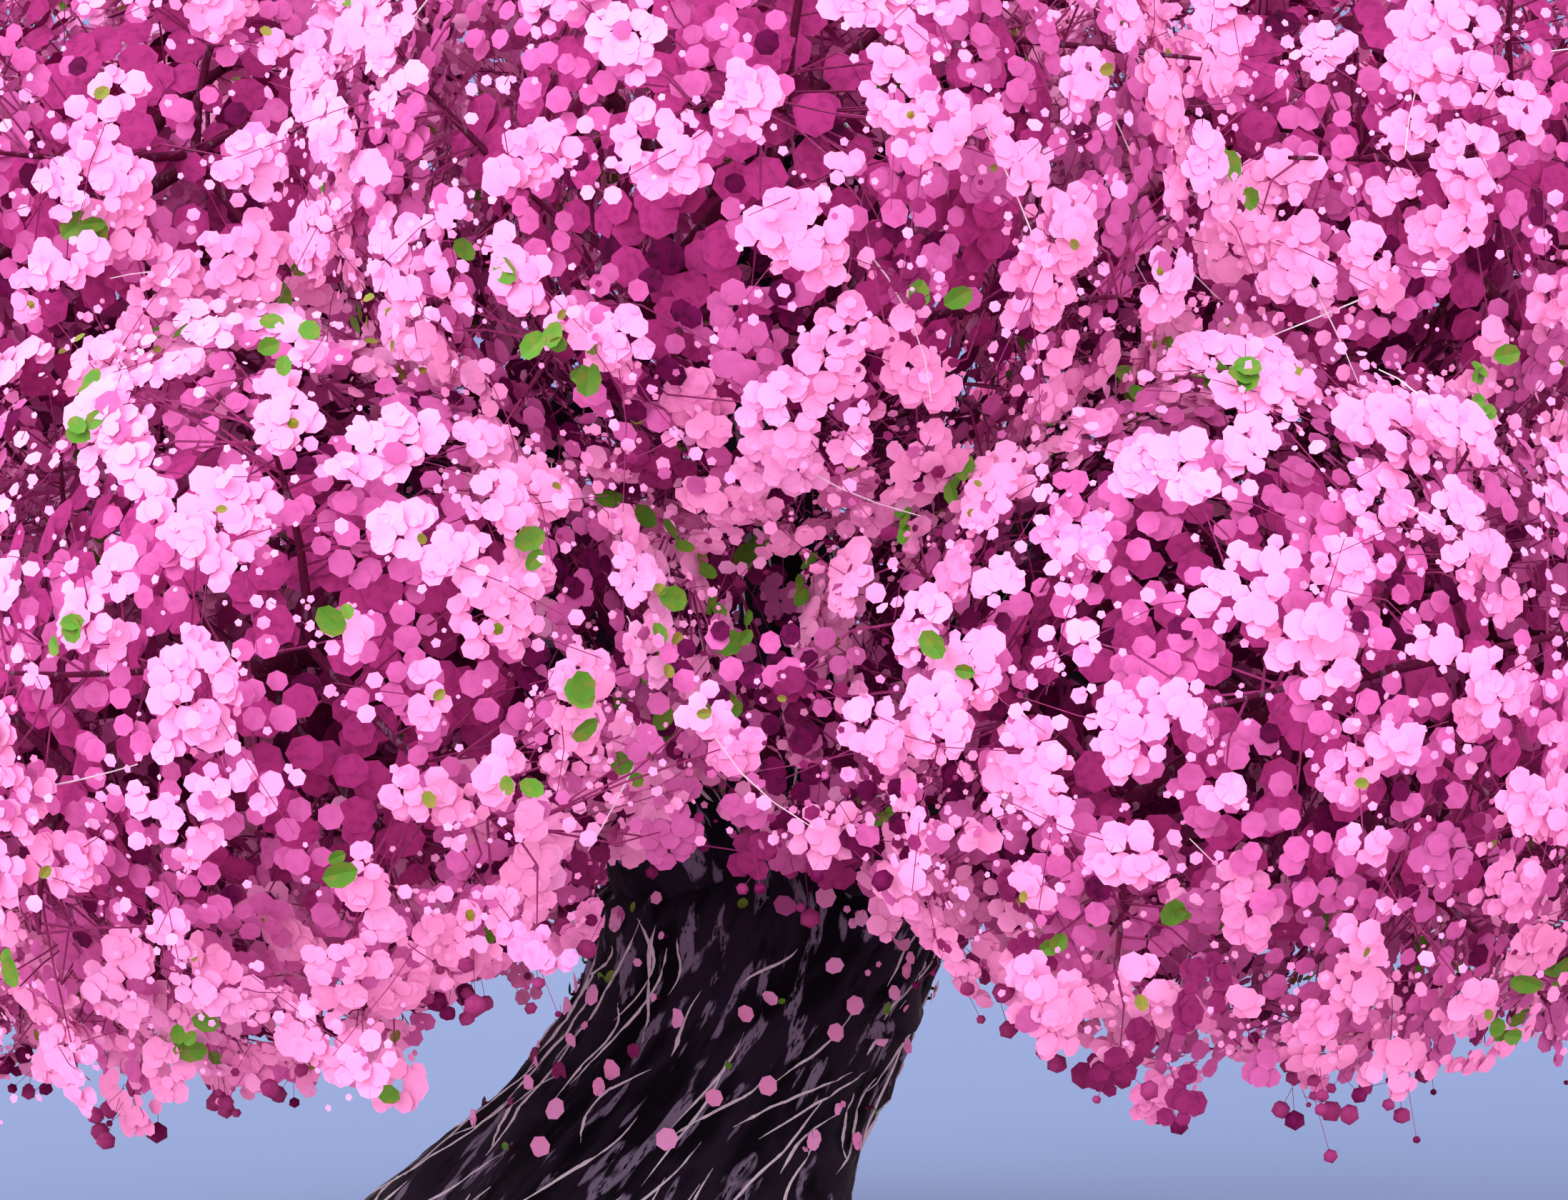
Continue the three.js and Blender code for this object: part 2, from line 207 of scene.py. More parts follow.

# The hem of the skirt, and the plum sprays that line it, whose plum is painted shade under the crown; the
# hem's own sprays are deepened by painted shade too. Each wave is (waves round the crown, height, turn in
# degrees).
HEM_SPRAYS = 640
HEM_RING = (1.35, 2.42)
HEM_RISE = 0.005
LINING_SPRAYS = 300
LINING_RING = (1.2, 2.25)
LINING_RISE = 0.1
HEM_HEIGHT = 0.709
HEM_LOWEST = 0.63
HEM_WAVES = ((1, 0.09, 51), (5, 0.066, 125), (15, 0.048, 95))
HEM_DEPTH = 0.3
HEM_SHADE = 1.1
HEM_CROWDING = 1.15
HEM_DROOP = 0.35
HEM_SCATTER = 0.25

# The layers of sprays: how many in each mass, how far their way has to be clear of the next mass, and
# between which shares of the mass's radius they lie. The inner layers take plum and wine as painted
# shade, and the sprays along the limbs are deepened by painted shade.
OUTER_SPRAYS = 272
OUTER_CLEAR = 0.82
INNER_SPRAYS = 88
INNER_CLEAR = 0.6
INNER_REACH = (0.66, 0.8)
HEART_SPRAYS = 66
HEART_CLEAR = 0.35
HEART_REACH = (0.4, 0.56)
SPRAYS_PER_METRE = 20
LIMB_SHADE = 0.5
LIMB_SPRAY_START = 0.3
LIMB_SPRAY_OFFSETS = (0.07, 0.32)

# How far sprays are turned out of even places, against the room that each has, and in shares of the
# mass's radius how far they keep from the next mass, how wide the painted shade in the clefts between
# masses is, and where a spray's tone is dealt.
SPRAY_SCATTER = 0.35
NEIGHBOUR_GAP = 0.05
CLEFT_WIDTH = 0.35
TONE_DEPTH = 0.9

# How far things keep from the wood, and how far out of the solids' box they may go.
SPRAY_ROOM = 0.05
CURTAIN_ROOM = 0.06
TWIG_ROOM = 0.02
SHOOT_ROOM = 0.03
SPRAY_MARGIN = 0.04
FLOWER_MARGIN = 0.05
SPECK_MARGIN = 0.045
HEM_MARGIN = 0.03
SHOOT_MARGIN = 0.03
LEAF_MARGIN = 0.02
LOWEST = 0.3

# How far specks and leaves keep above the arches and the hem.
SPECK_LIFT = 0.01
LEAF_LIFT = 0.02

# Petal tones, and the shares of a mass's radius between which outer sprays of each tone lie, the deeper
# tones deeper in as painted shade.
PALE, PINK, ROSE, MAUVE, DUSK = range(5)
TONE_STEPS = (-0.12, 2.2, 2.85, 3.75)
TONE_REACH = np.array([(0.86, 0.96), (0.83, 0.95), (0.76, 0.9), (0.7, 0.86), (0.66, 0.84)])
# Painted shade round the fork and in the gaps between the boughs: where it lies, how strong it is in the
# gaps, the share of sprays there that it deepens, and by how much.
SHADE_RING = (1.7, 1.25)
SHADE_SIDE = (0.55, 0.2)
SHADE_TOP = (2.4, 1.9)
BOUGH_GAP_SHADE = 0.4
SHADED_SHARE = 0.88
SHADED_STEP = 3

# What makes a tone paler, facing up or lying to the left or high, which is painted light from above and
# the left, and what makes it deeper: painted shade, and drifts and chance that vary it at random.
LIGHT_FROM_UP = 0.3
LIGHT_FROM_LEFT = 0.85
LIGHT_FROM_HEIGHT = 0.7
MIDDLE_HEIGHT = 1.8
TONE_START = 0.58
SHADE_DEPTH = 0.9
DRIFT_DEPTH = 0.5
CHANCE_DEPTH = 0.85

# The drifts in which one tone gathers: how many waves make them up, how close together these are, and
# their height. Loose flowers and specks lie clear of the clefts and are given less than no painted shade,
# which paints them paler as painted light.
DRIFT_WAVES = 7
DRIFT_PACES = (7, 14)
DRIFT_TURN = 6.3
DRIFT_HEIGHT = 1.9
LOOSE_SHADE = -0.4
SPECK_SHADE = -0.7

# A spray's flowers lie on a dome that is longer one way than the other. Their faces turn to the
# spray's way, a little along the dome, and out from the crown.
SMALL_SPRAY_POWER = 1.7
DEEP_SPRAY_SIZE = 0.6
DOME_SPAN = 0.85
DOME_SCATTER = 0.25
DOME_STRETCH = 0.22
DOME_HEIGHT = 0.45
DOME_REACH = (0.75, 1.15)
FACE_DOME = 0.25
FACE_OUT = 0.75
FACE_SCATTER = 0.12

# Specks round each spray, in flower widths, and shoots along the crown's face.
SPECKS_EACH = 5
SPECK_REACH = (0.9, 3.3)
SPECK_RISE = (0, 1.3)
SPECK_SCATTER = 0.3
SHOOT_STEPS = 9
SHOOT_LENGTHS = (0.12, 0.27)
PALE_SHOOT_SHARE = 0.05

# A shoot starts inside its spray. It leans out, droops, bows and strays by shares of its length. Low
# down, one that ends further below its start than is allowed is left out.
SHOOT_SINK = 0.02
SHOOT_OUT = 0.35
SHOOT_DROOP = 0.15
SHOOT_BOW = 0.12
SHOOT_STRAY = 0.08
DROOP_ALLOWED = 0.02
DROOP_HEIGHT = 1.0

# Shares of the flowers, and their sizes against the outer flower. The loose ones lie along the
# shoots, and turn out from the crown.
STRAY_SHARE = 0.06
TIGHTNESS = 0.33
DEEP_TIGHTNESS = 0.58
SIZE_SPREAD = 0.22
SIZE_LIMITS = (0.55, 1.5)
LOOSE_SCATTER = 0.021
LOOSE_OUT = 0.6
LOOSE_FACE_SCATTER = 0.35
LOOSE_SMALLEST = 0.27
LOOSE_SPREAD = 0.66
LOOSE_CROWDING = 1.4
SPECK_SIZES = (0.22, 0.52)
SPUR_FLOWER_SIZES = (0.4, 1.45)
SPUR_TONE_SHARES = (0.36, 0.36, 0.12, 0.08, 0.08)
OPEN_KIND_SHARES = (0.16, 0.1, 0.74)
SMALL_BELOW = 0.85
SPECK_BELOW = 0.53
EYE_SHARE = 0.035
DEEP_FLOWER_SIZES = (0.8, 1.15)

# The inner layers: the fewest and most flowers in a spray, and their width against the outer ones. Their
# plum and wine are painted shade inside the masses. A few of their flowers at random, and most round the
# fork, are given the dark colour of painted shade.
PLUM_FLOWERS = (13, 20)
PLUM_WIDTH = 1.2
WINE_FLOWERS = (6, 13)
WINE_WIDTH = 1.95
DARK_SHARE = 0.06
DARK_AT_FORK = 0.9

# Spurs and leaves on the trunk, leaves by the sprays, and buds under the lowest ones. The spurs
# start at shares of the trunk's height, most of them high up.
SPUR_COUNT = 190
SPUR_LEAVES = 26
SPUR_RADII = (0.005, 0.003)
SPUR_HIGHEST = 0.92
SPUR_RUN = 0.52
SPUR_CROWDING = 1.7
SPUR_SCATTER = 0.2
SPUR_SINK = 0.02
SPUR_LENGTHS = (0.008, 0.015)
LEAF_SIZES = (0.6, 1.25)
SPUR_LEAF_SIZES = (0.3, 0.6)
BUD_BAND = 0.09
BUDDING_SHARE = 0.45
BUDS_EACH = (2, 7)
BUD_DROPS = (0.02, 0.055)
BUD_SIZES = (0.3, 1.25)
DARK_BUD_SHARE = 0.35
BUD_TOP_SCATTER = 0.02
BUD_SCATTER = 0.028
STALK_RADII = (0.0007, 0.0006)

# Leaves, and the leaf tips that are smaller: the share of sprays that have them, how many lie in a
# row there, and their size. They lie ahead of the spray, by flower widths, and a few are left out.
LEAF_ROWS = (0.14, 3, 0.9)
LEAF_TIP_ROWS = (0.2, 1, 0.5)
LEAF_OUT = 0.6
LEAF_AHEAD = 1.7
LEAF_STEP = 0.45
LEAF_SCATTER = 0.006
LEAF_TILT = 0.3
LEAF_KEPT_SHARE = 0.8

# A piece with more triangles than this is split.
MOST_TRIANGLES = 190000


def linear(*srgb):
    """A colour as the eye reads it, in the linear numbers that a shader takes."""
    return tuple(c / 12.92 if c <= 0.04045 else ((c + 0.055) / 1.055) ** 2.4 for c in srgb)


def seeded_random(seed):
    """The same numbers in the same order each time, as the solids are made with."""
    state = seed
    while True:
        state = (state * 1664525 + 1013904223) % 2**32
        yield state / 2**32


def unit(vectors):
    return vectors / np.maximum(np.linalg.norm(vectors, axis=-1, keepdims=True), 1e-9)


def smooth(t):
    t = np.clip(t, 0, 1)
    return t * t * (3 - 2 * t)


def even_directions(count, turns):
    """Directions spread evenly over a sphere, each turned out of its place by its own amount."""
    index = np.arange(count)
    level = 1 - (2 * index + 1) / count
    azimuth = index * GOLDEN_ANGLE + DIRECTION_SPREAD * np.asarray(turns)
    flat = np.sqrt(1 - level**2)
    return np.stack([flat * np.cos(azimuth), flat * np.sin(azimuth), level], axis=1)


def smooth_curve(points, count):
    """Points evenly spaced along a centripetal Catmull-Rom curve."""
    p = np.array(points, float)
    p = np.vstack([2 * p[0] - p[1], p, 2 * p[-1] - p[-2]])
    fine = []
    t = np.linspace(0, 1, CURVE_STEPS, endpoint=False)[:, None]
    for a, b, c, d in zip(p, p[1:], p[2:], p[3:]):
        before, span, after = (math.sqrt(np.linalg.norm(step)) for step in (b - a, c - b, d - c))
        leave = ((b - a) / before - (c - a) / (before + span) + (c - b) / span) * span
        arrive = ((c - b) / span - (d - b) / (span + after) + (d - c) / after) * span
        bend = (2 * (b - c) + leave + arrive) * t**3
        fine.append(b + leave * t + (3 * (c - b) - 2 * leave - arrive) * t**2 + bend)
    fine.append(p[-2:-1])
    fine = np.vstack(fine)
    run = np.concatenate([[0], np.cumsum(np.linalg.norm(np.diff(fine, axis=0), axis=1))])
    places = np.linspace(0, run[-1], count)
    return np.stack([np.interp(places, run, fine[:, axis]) for axis in range(3)], axis=1)


def frames_along(paths, hint):
    """Two directions across each point of paths shaped (paths, points, 3)."""
    along = unit(np.gradient(paths, axis=1))
    side = unit(np.cross(along, hint[:, None, :]))
    return side, np.cross(side, along)


class Limb:
    """A tapering limb, as points along its middle and the radius at each."""

    POINTS = 101

    def __init__(self, name, points, base_radius, tip_radius):
        self.name = name
        self.path = smooth_curve(points, self.POINTS)
        self.shares = np.linspace(0, 1, self.POINTS)
        self.radii = base_radius + (tip_radius - base_radius) * self.shares**LIMB_TAPER
        self.length = np.linalg.norm(np.diff(self.path, axis=0), axis=1).sum()
        run = self.path[-1] - self.path[0]
        hint = unit(np.array([[run[1], -run[0], 0.001]]))
        self.side, self.across = (found[0] for found in frames_along(self.path[None], hint))

    def at(self, share):
        index = round(share * (self.POINTS - 1))
        return self.path[index], self.radii[index]

    def surface(self, around, share):
        """Points of the limb's skin with its collar, and the way out at each."""
        middle, side, across = (
            np.stack([np.interp(share, self.shares, line[:, axis]) for axis in range(3)], axis=-1)
            for line in (self.path, self.side, self.across)
        )
        angle = 2 * math.pi * around[..., None]
        out = unit(side * np.cos(angle) + across * np.sin(angle))
        collar = 1 + COLLAR * np.exp(-share * self.length / (COLLAR_REACH * self.radii[0]))
        radius = np.interp(share, self.shares, self.radii) * collar
        return middle + out * radius[..., None], out


def trunk_surface(around, share):
    """Points of the trunk's skin, and the way out at each."""
    height = np.asarray(share) * TRUNK_TOP
    angle = 2 * math.pi * around
    flare = FLARE * np.clip(1 - height / FLARE_HEIGHT, 0, None) ** FLARE_POWER
    swell = SWELL * smooth((height - SWELL_START) / (FORK_HEIGHT - SWELL_START))
    lobe = LOBE_DEPTH * np.sqrt(np.clip(1 - height / LOBE_HEIGHT, 0, None))
    radius = NECK_RADIUS + flare + swell * (1 - SWELL_WAVE * np.cos(BOUGHS * angle))
    radius = radius * (1 - lobe * np.cos(ROOT_LOBES * angle))
    dome = np.clip((height - FORK_HEIGHT) / CROTCH_RISE, 0, 1)
    radius = radius * np.sqrt(1 - CROTCH_CLOSES * dome**2)
    middle = TRUNK_LEAN * smooth(height / FORK_HEIGHT)
    out = np.stack([np.cos(angle), np.sin(angle), np.zeros_like(angle)], axis=-1)
    base = np.stack([middle, np.zeros_like(middle), height], axis=-1)
    return base + out * radius[..., None], out


class Space:
    """What a mass of blossom keeps to: a squashed ball, cut flat where it meets its neighbours."""

    MEETS_NOTHING = 9.0

    def __init__(self, tier, azimuth, rise):
        ring, height, self.radius = tier
        self.centre = np.array(
            [CROWN_AXIS_X + ring * math.cos(azimuth), ring * math.sin(azimuth), height + rise]
        )
        self.round = self.centre / (1, 1, SQUASH)

    def towards(self, directions, shares):
        """The points at shares of the radius from the centre, along directions."""
        reach = self.radius * np.asarray(shares)[..., None]
        return self.centre + directions * (1, 1, SQUASH) * reach

    def entry_from(self, point):
        return self.towards(unit(point / (1, 1, SQUASH) - self.round), ENTRY)

    def open_shares(self, directions, spaces):
        """How far each direction runs before a neighbour's space starts, in radii."""
        shares = np.full(len(directions), self.MEETS_NOTHING)
        for other in spaces:
            if other is self:
                continue
            across = other.round - self.round
            distance = np.linalg.norm(across)
            to_plane = (distance**2 - other.radius**2 + self.radius**2) / (2 * distance)
            facing = directions @ (across / distance)
            meets = facing > 1e-3
            reach = (to_plane - SPACE_GAP) / (self.radius * facing[meets])
            shares[meets] = np.minimum(shares[meets], reach)
        return shares


def crown_spaces():
    """The space of each mass by its node's name."""
    placed = []
    for k in range(BOUGHS):
        azimuth = FIRST_BOUGH + k * QUARTER
        for i in (2 * k, 2 * k + 1):
            turned = azimuth + SKIRT_TURN * (1 if i % 2 else -1)
            placed.append((f"blossom_skirt_{i + 1}", SKIRT, turned, SKIRT_RISE[i]))
        placed.append((f"blossom_waist_{2 * k + 1}", WAIST, azimuth, 0))
        placed.append((f"blossom_waist_{2 * k + 2}", WAIST, azimuth + QUARTER / 2, 0))
        placed.append((f"blossom_shoulder_{k + 1}", SHOULDER, azimuth + QUARTER / 4, 0))
    placed.append(("blossom_top", TOP, 0, 0))
    return {name: Space(tier, turned, rise) for name, tier, turned, rise in placed}


def side_limb(name, parent, share, space, arch):
    """A limb that springs from its parent part way along, and arches over into a mass."""
    start, radius = parent.at(share)
    rise = np.array([0, 0, arch])
    entry = space.entry_from(start + rise)
    middle = (start + entry) / 2 + rise
    return Limb(name, [start, middle, entry], radius * SIDE_SHARE, SIDE_TIP)


def grow_limbs(spaces):
    """Pairs of a limb and the space that it carries, main limbs first."""
    grown = []
    for k in range(BOUGHS):
        azimuth = FIRST_BOUGH + k * QUARTER
        out = np.array([math.cos(azimuth), math.sin(azimuth), 0])
        points = [FORK_HEART + out * reach + (0, 0, up) for reach, up in BOUGH_PATH]
        space = spaces[f"blossom_waist_{2 * k + 1}"]
        points.append(space.entry_from(points[-1]))
        grown.append((Limb(f"bough_{k + 1}", points, BOUGH_RADIUS, BOUGH_TIP), space))
    points = [FORK_HEART + step for step in LEADER_PATH]
    points.append(spaces["blossom_top"].entry_from(points[-1]))
    leader = Limb("leader", points, LEADER_RADIUS, BOUGH_TIP)
    grown.append((leader, spaces["blossom_top"]))
    for k in range(BOUGHS):
        bough = grown[k][0]
        own = f"bough_{k + 1}"
        sides = [
            (f"{own}_low_{i + 1}", bough, start, f"blossom_skirt_{2 * k + i + 1}", LOW_ARCH)
            for i, start in enumerate(LOW_STARTS)
        ]
        sides.append((f"{own}_cross", bough, CROSS_START, f"blossom_waist_{2 * k + 2}", CROSS_ARCH))
        share = SHOULDER_START + SHOULDER_STEP * k
        held = f"blossom_shoulder_{k + 1}"
        sides.append((f"leader_side_{k + 1}", leader, share, held, SHOULDER_ARCH))
        for name, parent, start, held, arch in sides:
            grown.append((side_limb(name, parent, start, spaces[held], arch), spaces[held]))
    return grown


SPACES = crown_spaces()
GROWN = grow_limbs(SPACES)
MASS_NODES = sorted(SPACES)
LIMB_NODES = [limb.name for limb, _ in GROWN]
CROSS_NUMBERS = [number for number, (limb, _) in enumerate(GROWN) if limb.name.endswith("cross")]


# Shapes as arrays. A shape is (vertices, [faces, ...]), where each faces array has rows of the
# same number of corners. A path or face steeper than these is turned by +X, and others by +Z.
STEEP_PATH = 0.8
STEEP_FACE = 0.9


def joined(shapes):
    """Many shapes as one."""
    vertices = []
    faces = {}
    start = 0
    for points, groups in shapes:
        for rows in groups:
            faces.setdefault(rows.shape[1], []).append(rows + start)
        vertices.append(points)
        start += len(points)
    return np.vstack(vertices), [np.vstack(rows) for rows in faces.values()]


def ring_quads(rings, sides):
    """Quads between rings of vertices that follow one another."""
    here = np.arange(sides)
    after = (here + 1) % sides
    row = np.arange(rings - 1)[:, None] * sides
    quads = np.stack([row + here, row + after, row + after + sides, row + here + sides], -1)
    return quads.reshape(-1, 4)


def tubes(paths, radii, sides):
    """Tubes along paths shaped (tubes, points, 3), with radii shaped (tubes, points)."""
    count, points = radii.shape
    run = unit(paths[:, -1] - paths[:, 0])
    hint = np.where(np.abs(run[:, 2:3]) > STEEP_PATH, (1.0, 0.0, 0.0), (0.0, 0.0, 1.0))
    side, across = frames_along(paths, hint)
    turn = 2 * math.pi * np.arange(sides) / sides
    ring = side[:, :, None] * np.cos(turn)[:, None] + across[:, :, None] * np.sin(turn)[:, None]
    vertices = (paths[:, :, None] + ring * radii[:, :, None, None]).reshape(-1, 3)
    starts = np.arange(count)[:, None, None] * points * sides
    return vertices, [(starts + ring_quads(points, sides)).reshape(-1, 4)]


def tapered(paths, base, tip, sides):
    radii = np.repeat(np.linspace(base, tip, paths.shape[1])[None], len(paths), axis=0)
    return tubes(paths, radii, sides)


def bent(starts, ends, lift, points):
    """Paths from starts to ends that bow out by lift, an offset for each."""
    t = np.linspace(0, 1, points)[None, :, None]
    middle = ((starts + ends) / 2 + lift)[:, None]
    return starts[:, None] * (1 - t) ** 2 + middle * 2 * t * (1 - t) + ends[:, None] * t**2


def facing(directions, spins):
    """Turns shaped (n, 3, 3) that stand a pattern's +Z along directions, spun about them."""
    steep = np.abs(directions[:, 2:3]) > STEEP_FACE
    up = np.where(steep, (1.0, 0.0, 0.0), (0.0, 0.0, 1.0))
    side = unit(np.cross(up, directions))
    across = np.cross(directions, side)
    cos, sin = np.cos(spins)[:, None], np.sin(spins)[:, None]
    return np.stack([side * cos + across * sin, across * cos - side * sin, directions], axis=1)


def copies(pattern, places, turns, sizes):
    """A small pattern set down at many places, each with its own turn and size."""
    corners, faces = pattern
    vertices = places[:, None] + np.einsum("vj,njk->nvk", corners, turns) * sizes[:, None, None]
    starts = np.arange(len(places))[:, None, None] * len(corners)
    return vertices.reshape(-1, 3), [(faces[None] + starts).reshape(-1, faces.shape[1])]


class Bark:
    """Bark relief wrapped round a limb: long plates that wind a little, of three sizes."""

    # Each size of plate is (width, length against the width, share of the relief).
    PLATES = ((0.085, 3.2, 0.5), (0.034, 2.8, 0.32), (0.016, 2.0, 0.18))
    FEWEST_AROUND = 6
    FEWEST_ALONG = 2

    # The plates wind and waver round the limb, and the relief's level lies on the limb's own skin.
    WINDING = 0.05
    WINDS = 3
    WAVER = 0.02
    WAVERS = 6 * math.pi
    SKIN_LEVEL = 0.55

    def __init__(self, radius, length, relief, random):
        self.radius = radius
        self.length = length
        self.relief = relief
        self.grids = []
        for width, stretch, weight in self.PLATES:
            cells_around = max(self.FEWEST_AROUND, round(2 * math.pi * radius / width))
            cells_along = max(self.FEWEST_ALONG, round(length / (width * stretch)))
            self.grids.append((random.random((cells_along + 2, cells_around)), weight))

    def height(self, around, along):
        """From 0 in a furrow to 1 on a ridge."""
        wound = around + self.WINDING * np.sin(self.WINDS * along)
        wound = wound + self.WAVER * np.sin(self.WAVERS * around)
        return sum(
            weight * (1 - np.abs(2 * self.noise(grid, wound, along) - 1)) for grid, weight in self.grids
        )

    def noise(self, grid, around, along):
        """Smooth noise from 0 to 1 that closes on itself in the direction around."""
        cells_along, cells_around = grid.shape[0] - 2, grid.shape[1]
        a = (around % 1) * cells_around
        b = np.clip(along, 0, 1) * cells_along
        i, j = np.floor(a).astype(int), np.floor(b).astype(int)
        fa, fb = smooth(a - i), smooth(b - j)
        left, right = i % cells_around, (i + 1) % cells_around
        low = grid[j, left] * (1 - fa) + grid[j, right] * fa
        high = grid[j + 1, left] * (1 - fa) + grid[j + 1, right] * fa
        return low * (1 - fb) + high * fb

    def lay_on(self, surface):
        """The same surface with the relief on it, and the height at each point as well."""

        def laid(around, along):
            points, out = surface(around, along)
            height = self.height(around, along)
            lift = (height - self.SKIN_LEVEL) * self.relief
            return points + out * lift[..., None], out, height

        return laid

    def grain(self, around, along):
        """Where each point lies on the bark unrolled, so that grain runs along the limb."""
        angle = 2 * math.pi * around
        flat = [self.radius * np.cos(angle), self.radius * np.sin(angle), self.length * along]
        return np.stack(flat, axis=-1)


def bark_skin(surface, bark, sides, shares):
    """A limb's mesh with its relief, and the ridge height and grain place at each vertex."""
    around, along = np.meshgrid(np.arange(sides) / sides, shares)
    points, _, height = bark.lay_on(surface)(around, along)
    here = np.arange(sides)
    ends = np.vstack([here[::-1], here + (len(shares) - 1) * sides])
    shape = points.reshape(-1, 3), [ring_quads(len(shares), sides), ends]
    return shape, height.ravel(), bark.grain(around, along).reshape(-1, 3)


def ridge_strips(surface, tracks, half_width, lift):
    """Long thin raised ridges with tapered ends. Each track is shaped (steps, 2), with the
    surface's (around, along) at each step."""
    shapes = []
    for track in tracks:
        steps = len(track)
        points, out, _ = surface(track[:, 0], track[:, 1])
        along = unit(np.gradient(points, axis=0))
        side = unit(np.cross(along, out))
        swell = np.sin(math.pi * np.linspace(*LINE_ENDS, steps))[:, None] ** 0.5
        left = points - side * half_width * swell - out * lift
        top = points + out * lift * swell
        right = points + side * half_width * swell - out * lift
        vertices = np.stack([left, top, right], axis=1).reshape(-1, 3)
        row = np.arange(steps - 1)[:, None] * 3
        shapes.append((vertices, [np.vstack([row + (0, 1, 4, 3), row + (1, 2, 5, 4)])]))
    return joined(shapes)


# Where the crown is kept open, and how its colours drift


def lowest_height(points):
    """The lowest that a spray may hang over each point's place on the ground."""
    across = points[:, :2] - (CROWN_AXIS_X, 0)
    side = np.abs(across).min(axis=1)
    tilt = ARCH_TILT * np.clip(across[:, 0], -ARCH_SIDE[-1], ARCH_SIDE[-1])
    azimuth = np.arctan2(across[:, 1], across[:, 0])
    waves = [rise * np.cos(count * azimuth - math.radians(turn)) for count, rise, turn in HEM_WAVES]
    hem = np.maximum(HEM_HEIGHT + sum(waves), HEM_LOWEST)
    return np.maximum(np.interp(side, ARCH_SIDE, ARCH_HEIGHT) - tilt, hem)


def clear_of_wood(points, room):
    """Which points keep their distance from every limb, above the arches and the hem."""
    paths = np.vstack([limb.path[::LIMB_STRIDE] for limb, _ in GROWN])
    radii = np.concatenate([limb.radii[::LIMB_STRIDE] for limb, _ in GROWN])
    gaps = np.linalg.norm(points[:, None] - paths[None], axis=2) - radii
    return (gaps.min(axis=1) > room) & (points[:, 2] > lowest_height(points))


def inside_box(points, margin):
    """Which points lie inside the solids' box, let out by a margin, and above the ground."""
    low, high = (np.array(corner) for corner in CAD_BOX)
    inside = (points > low - margin) & (points < high + margin)
    return inside.all(axis=1) & (points[:, 2] > LOWEST)


def drift(points):
    """Slow drifts from about -1 to 1 through the crown, in which sprays of one tone gather."""
    random = np.random.default_rng(SEED + 20)
    waves = unit(random.normal(0, 1, (DRIFT_WAVES, 3)))
    waves = waves * random.uniform(*DRIFT_PACES, (DRIFT_WAVES, 1))
    turns = random.uniform(0, DRIFT_TURN, DRIFT_WAVES)
    return np.sin(points @ waves.T + turns).mean(axis=1) * DRIFT_HEIGHT


def outward_level(places):
    """The level direction from the crown's axis out to each place."""
    return unit((places - (CROWN_AXIS_X, 0, 0)) * (1, 1, 0) + (1e-6, 0, 0))


def between(values, limits):
    """From 0 at the first limit to 1 at the second."""
    first, second = limits
    return smooth((values - first) / (second - first))


def fork_shade(places):
    """From 0 in the open to 1 in the deep shade round the fork, with half shade between boughs."""
    across = places[:, :2] - (CROWN_AXIS_X, 0)
    inside = between(np.linalg.norm(across, axis=1), SHADE_RING)
    gap = BOUGH_GAP_SHADE * between(np.abs(across).min(axis=1), SHADE_SIDE)
    return np.maximum(inside, gap) * between(places[:, 2], SHADE_TOP)


def deal_tones(places, ways, painted_shade, random):
    """A tone for each spray, with painted light and shade. Sprays that face up, lie to the left or lie
    high are painted paler, as if lit from above and the left, and those in the clefts between masses,
    underneath or round the fork are painted deeper, as shade. Drifts and chance vary the tone as well."""
    light = LIGHT_FROM_UP * ways[:, 2] - LIGHT_FROM_LEFT * (places[:, 0] - CROWN_AXIS_X)
    light += LIGHT_FROM_HEIGHT * (places[:, 2] - MIDDLE_HEIGHT)
    score = TONE_START - light + SHADE_DEPTH * painted_shade + DRIFT_DEPTH * drift(places)
    score += random.normal(0, CHANCE_DEPTH, len(places))
    score[random.random(len(places)) < SHADED_SHARE * fork_shade(places)] += SHADED_STEP
    return np.digitize(score, TONE_STEPS)


# Sprays


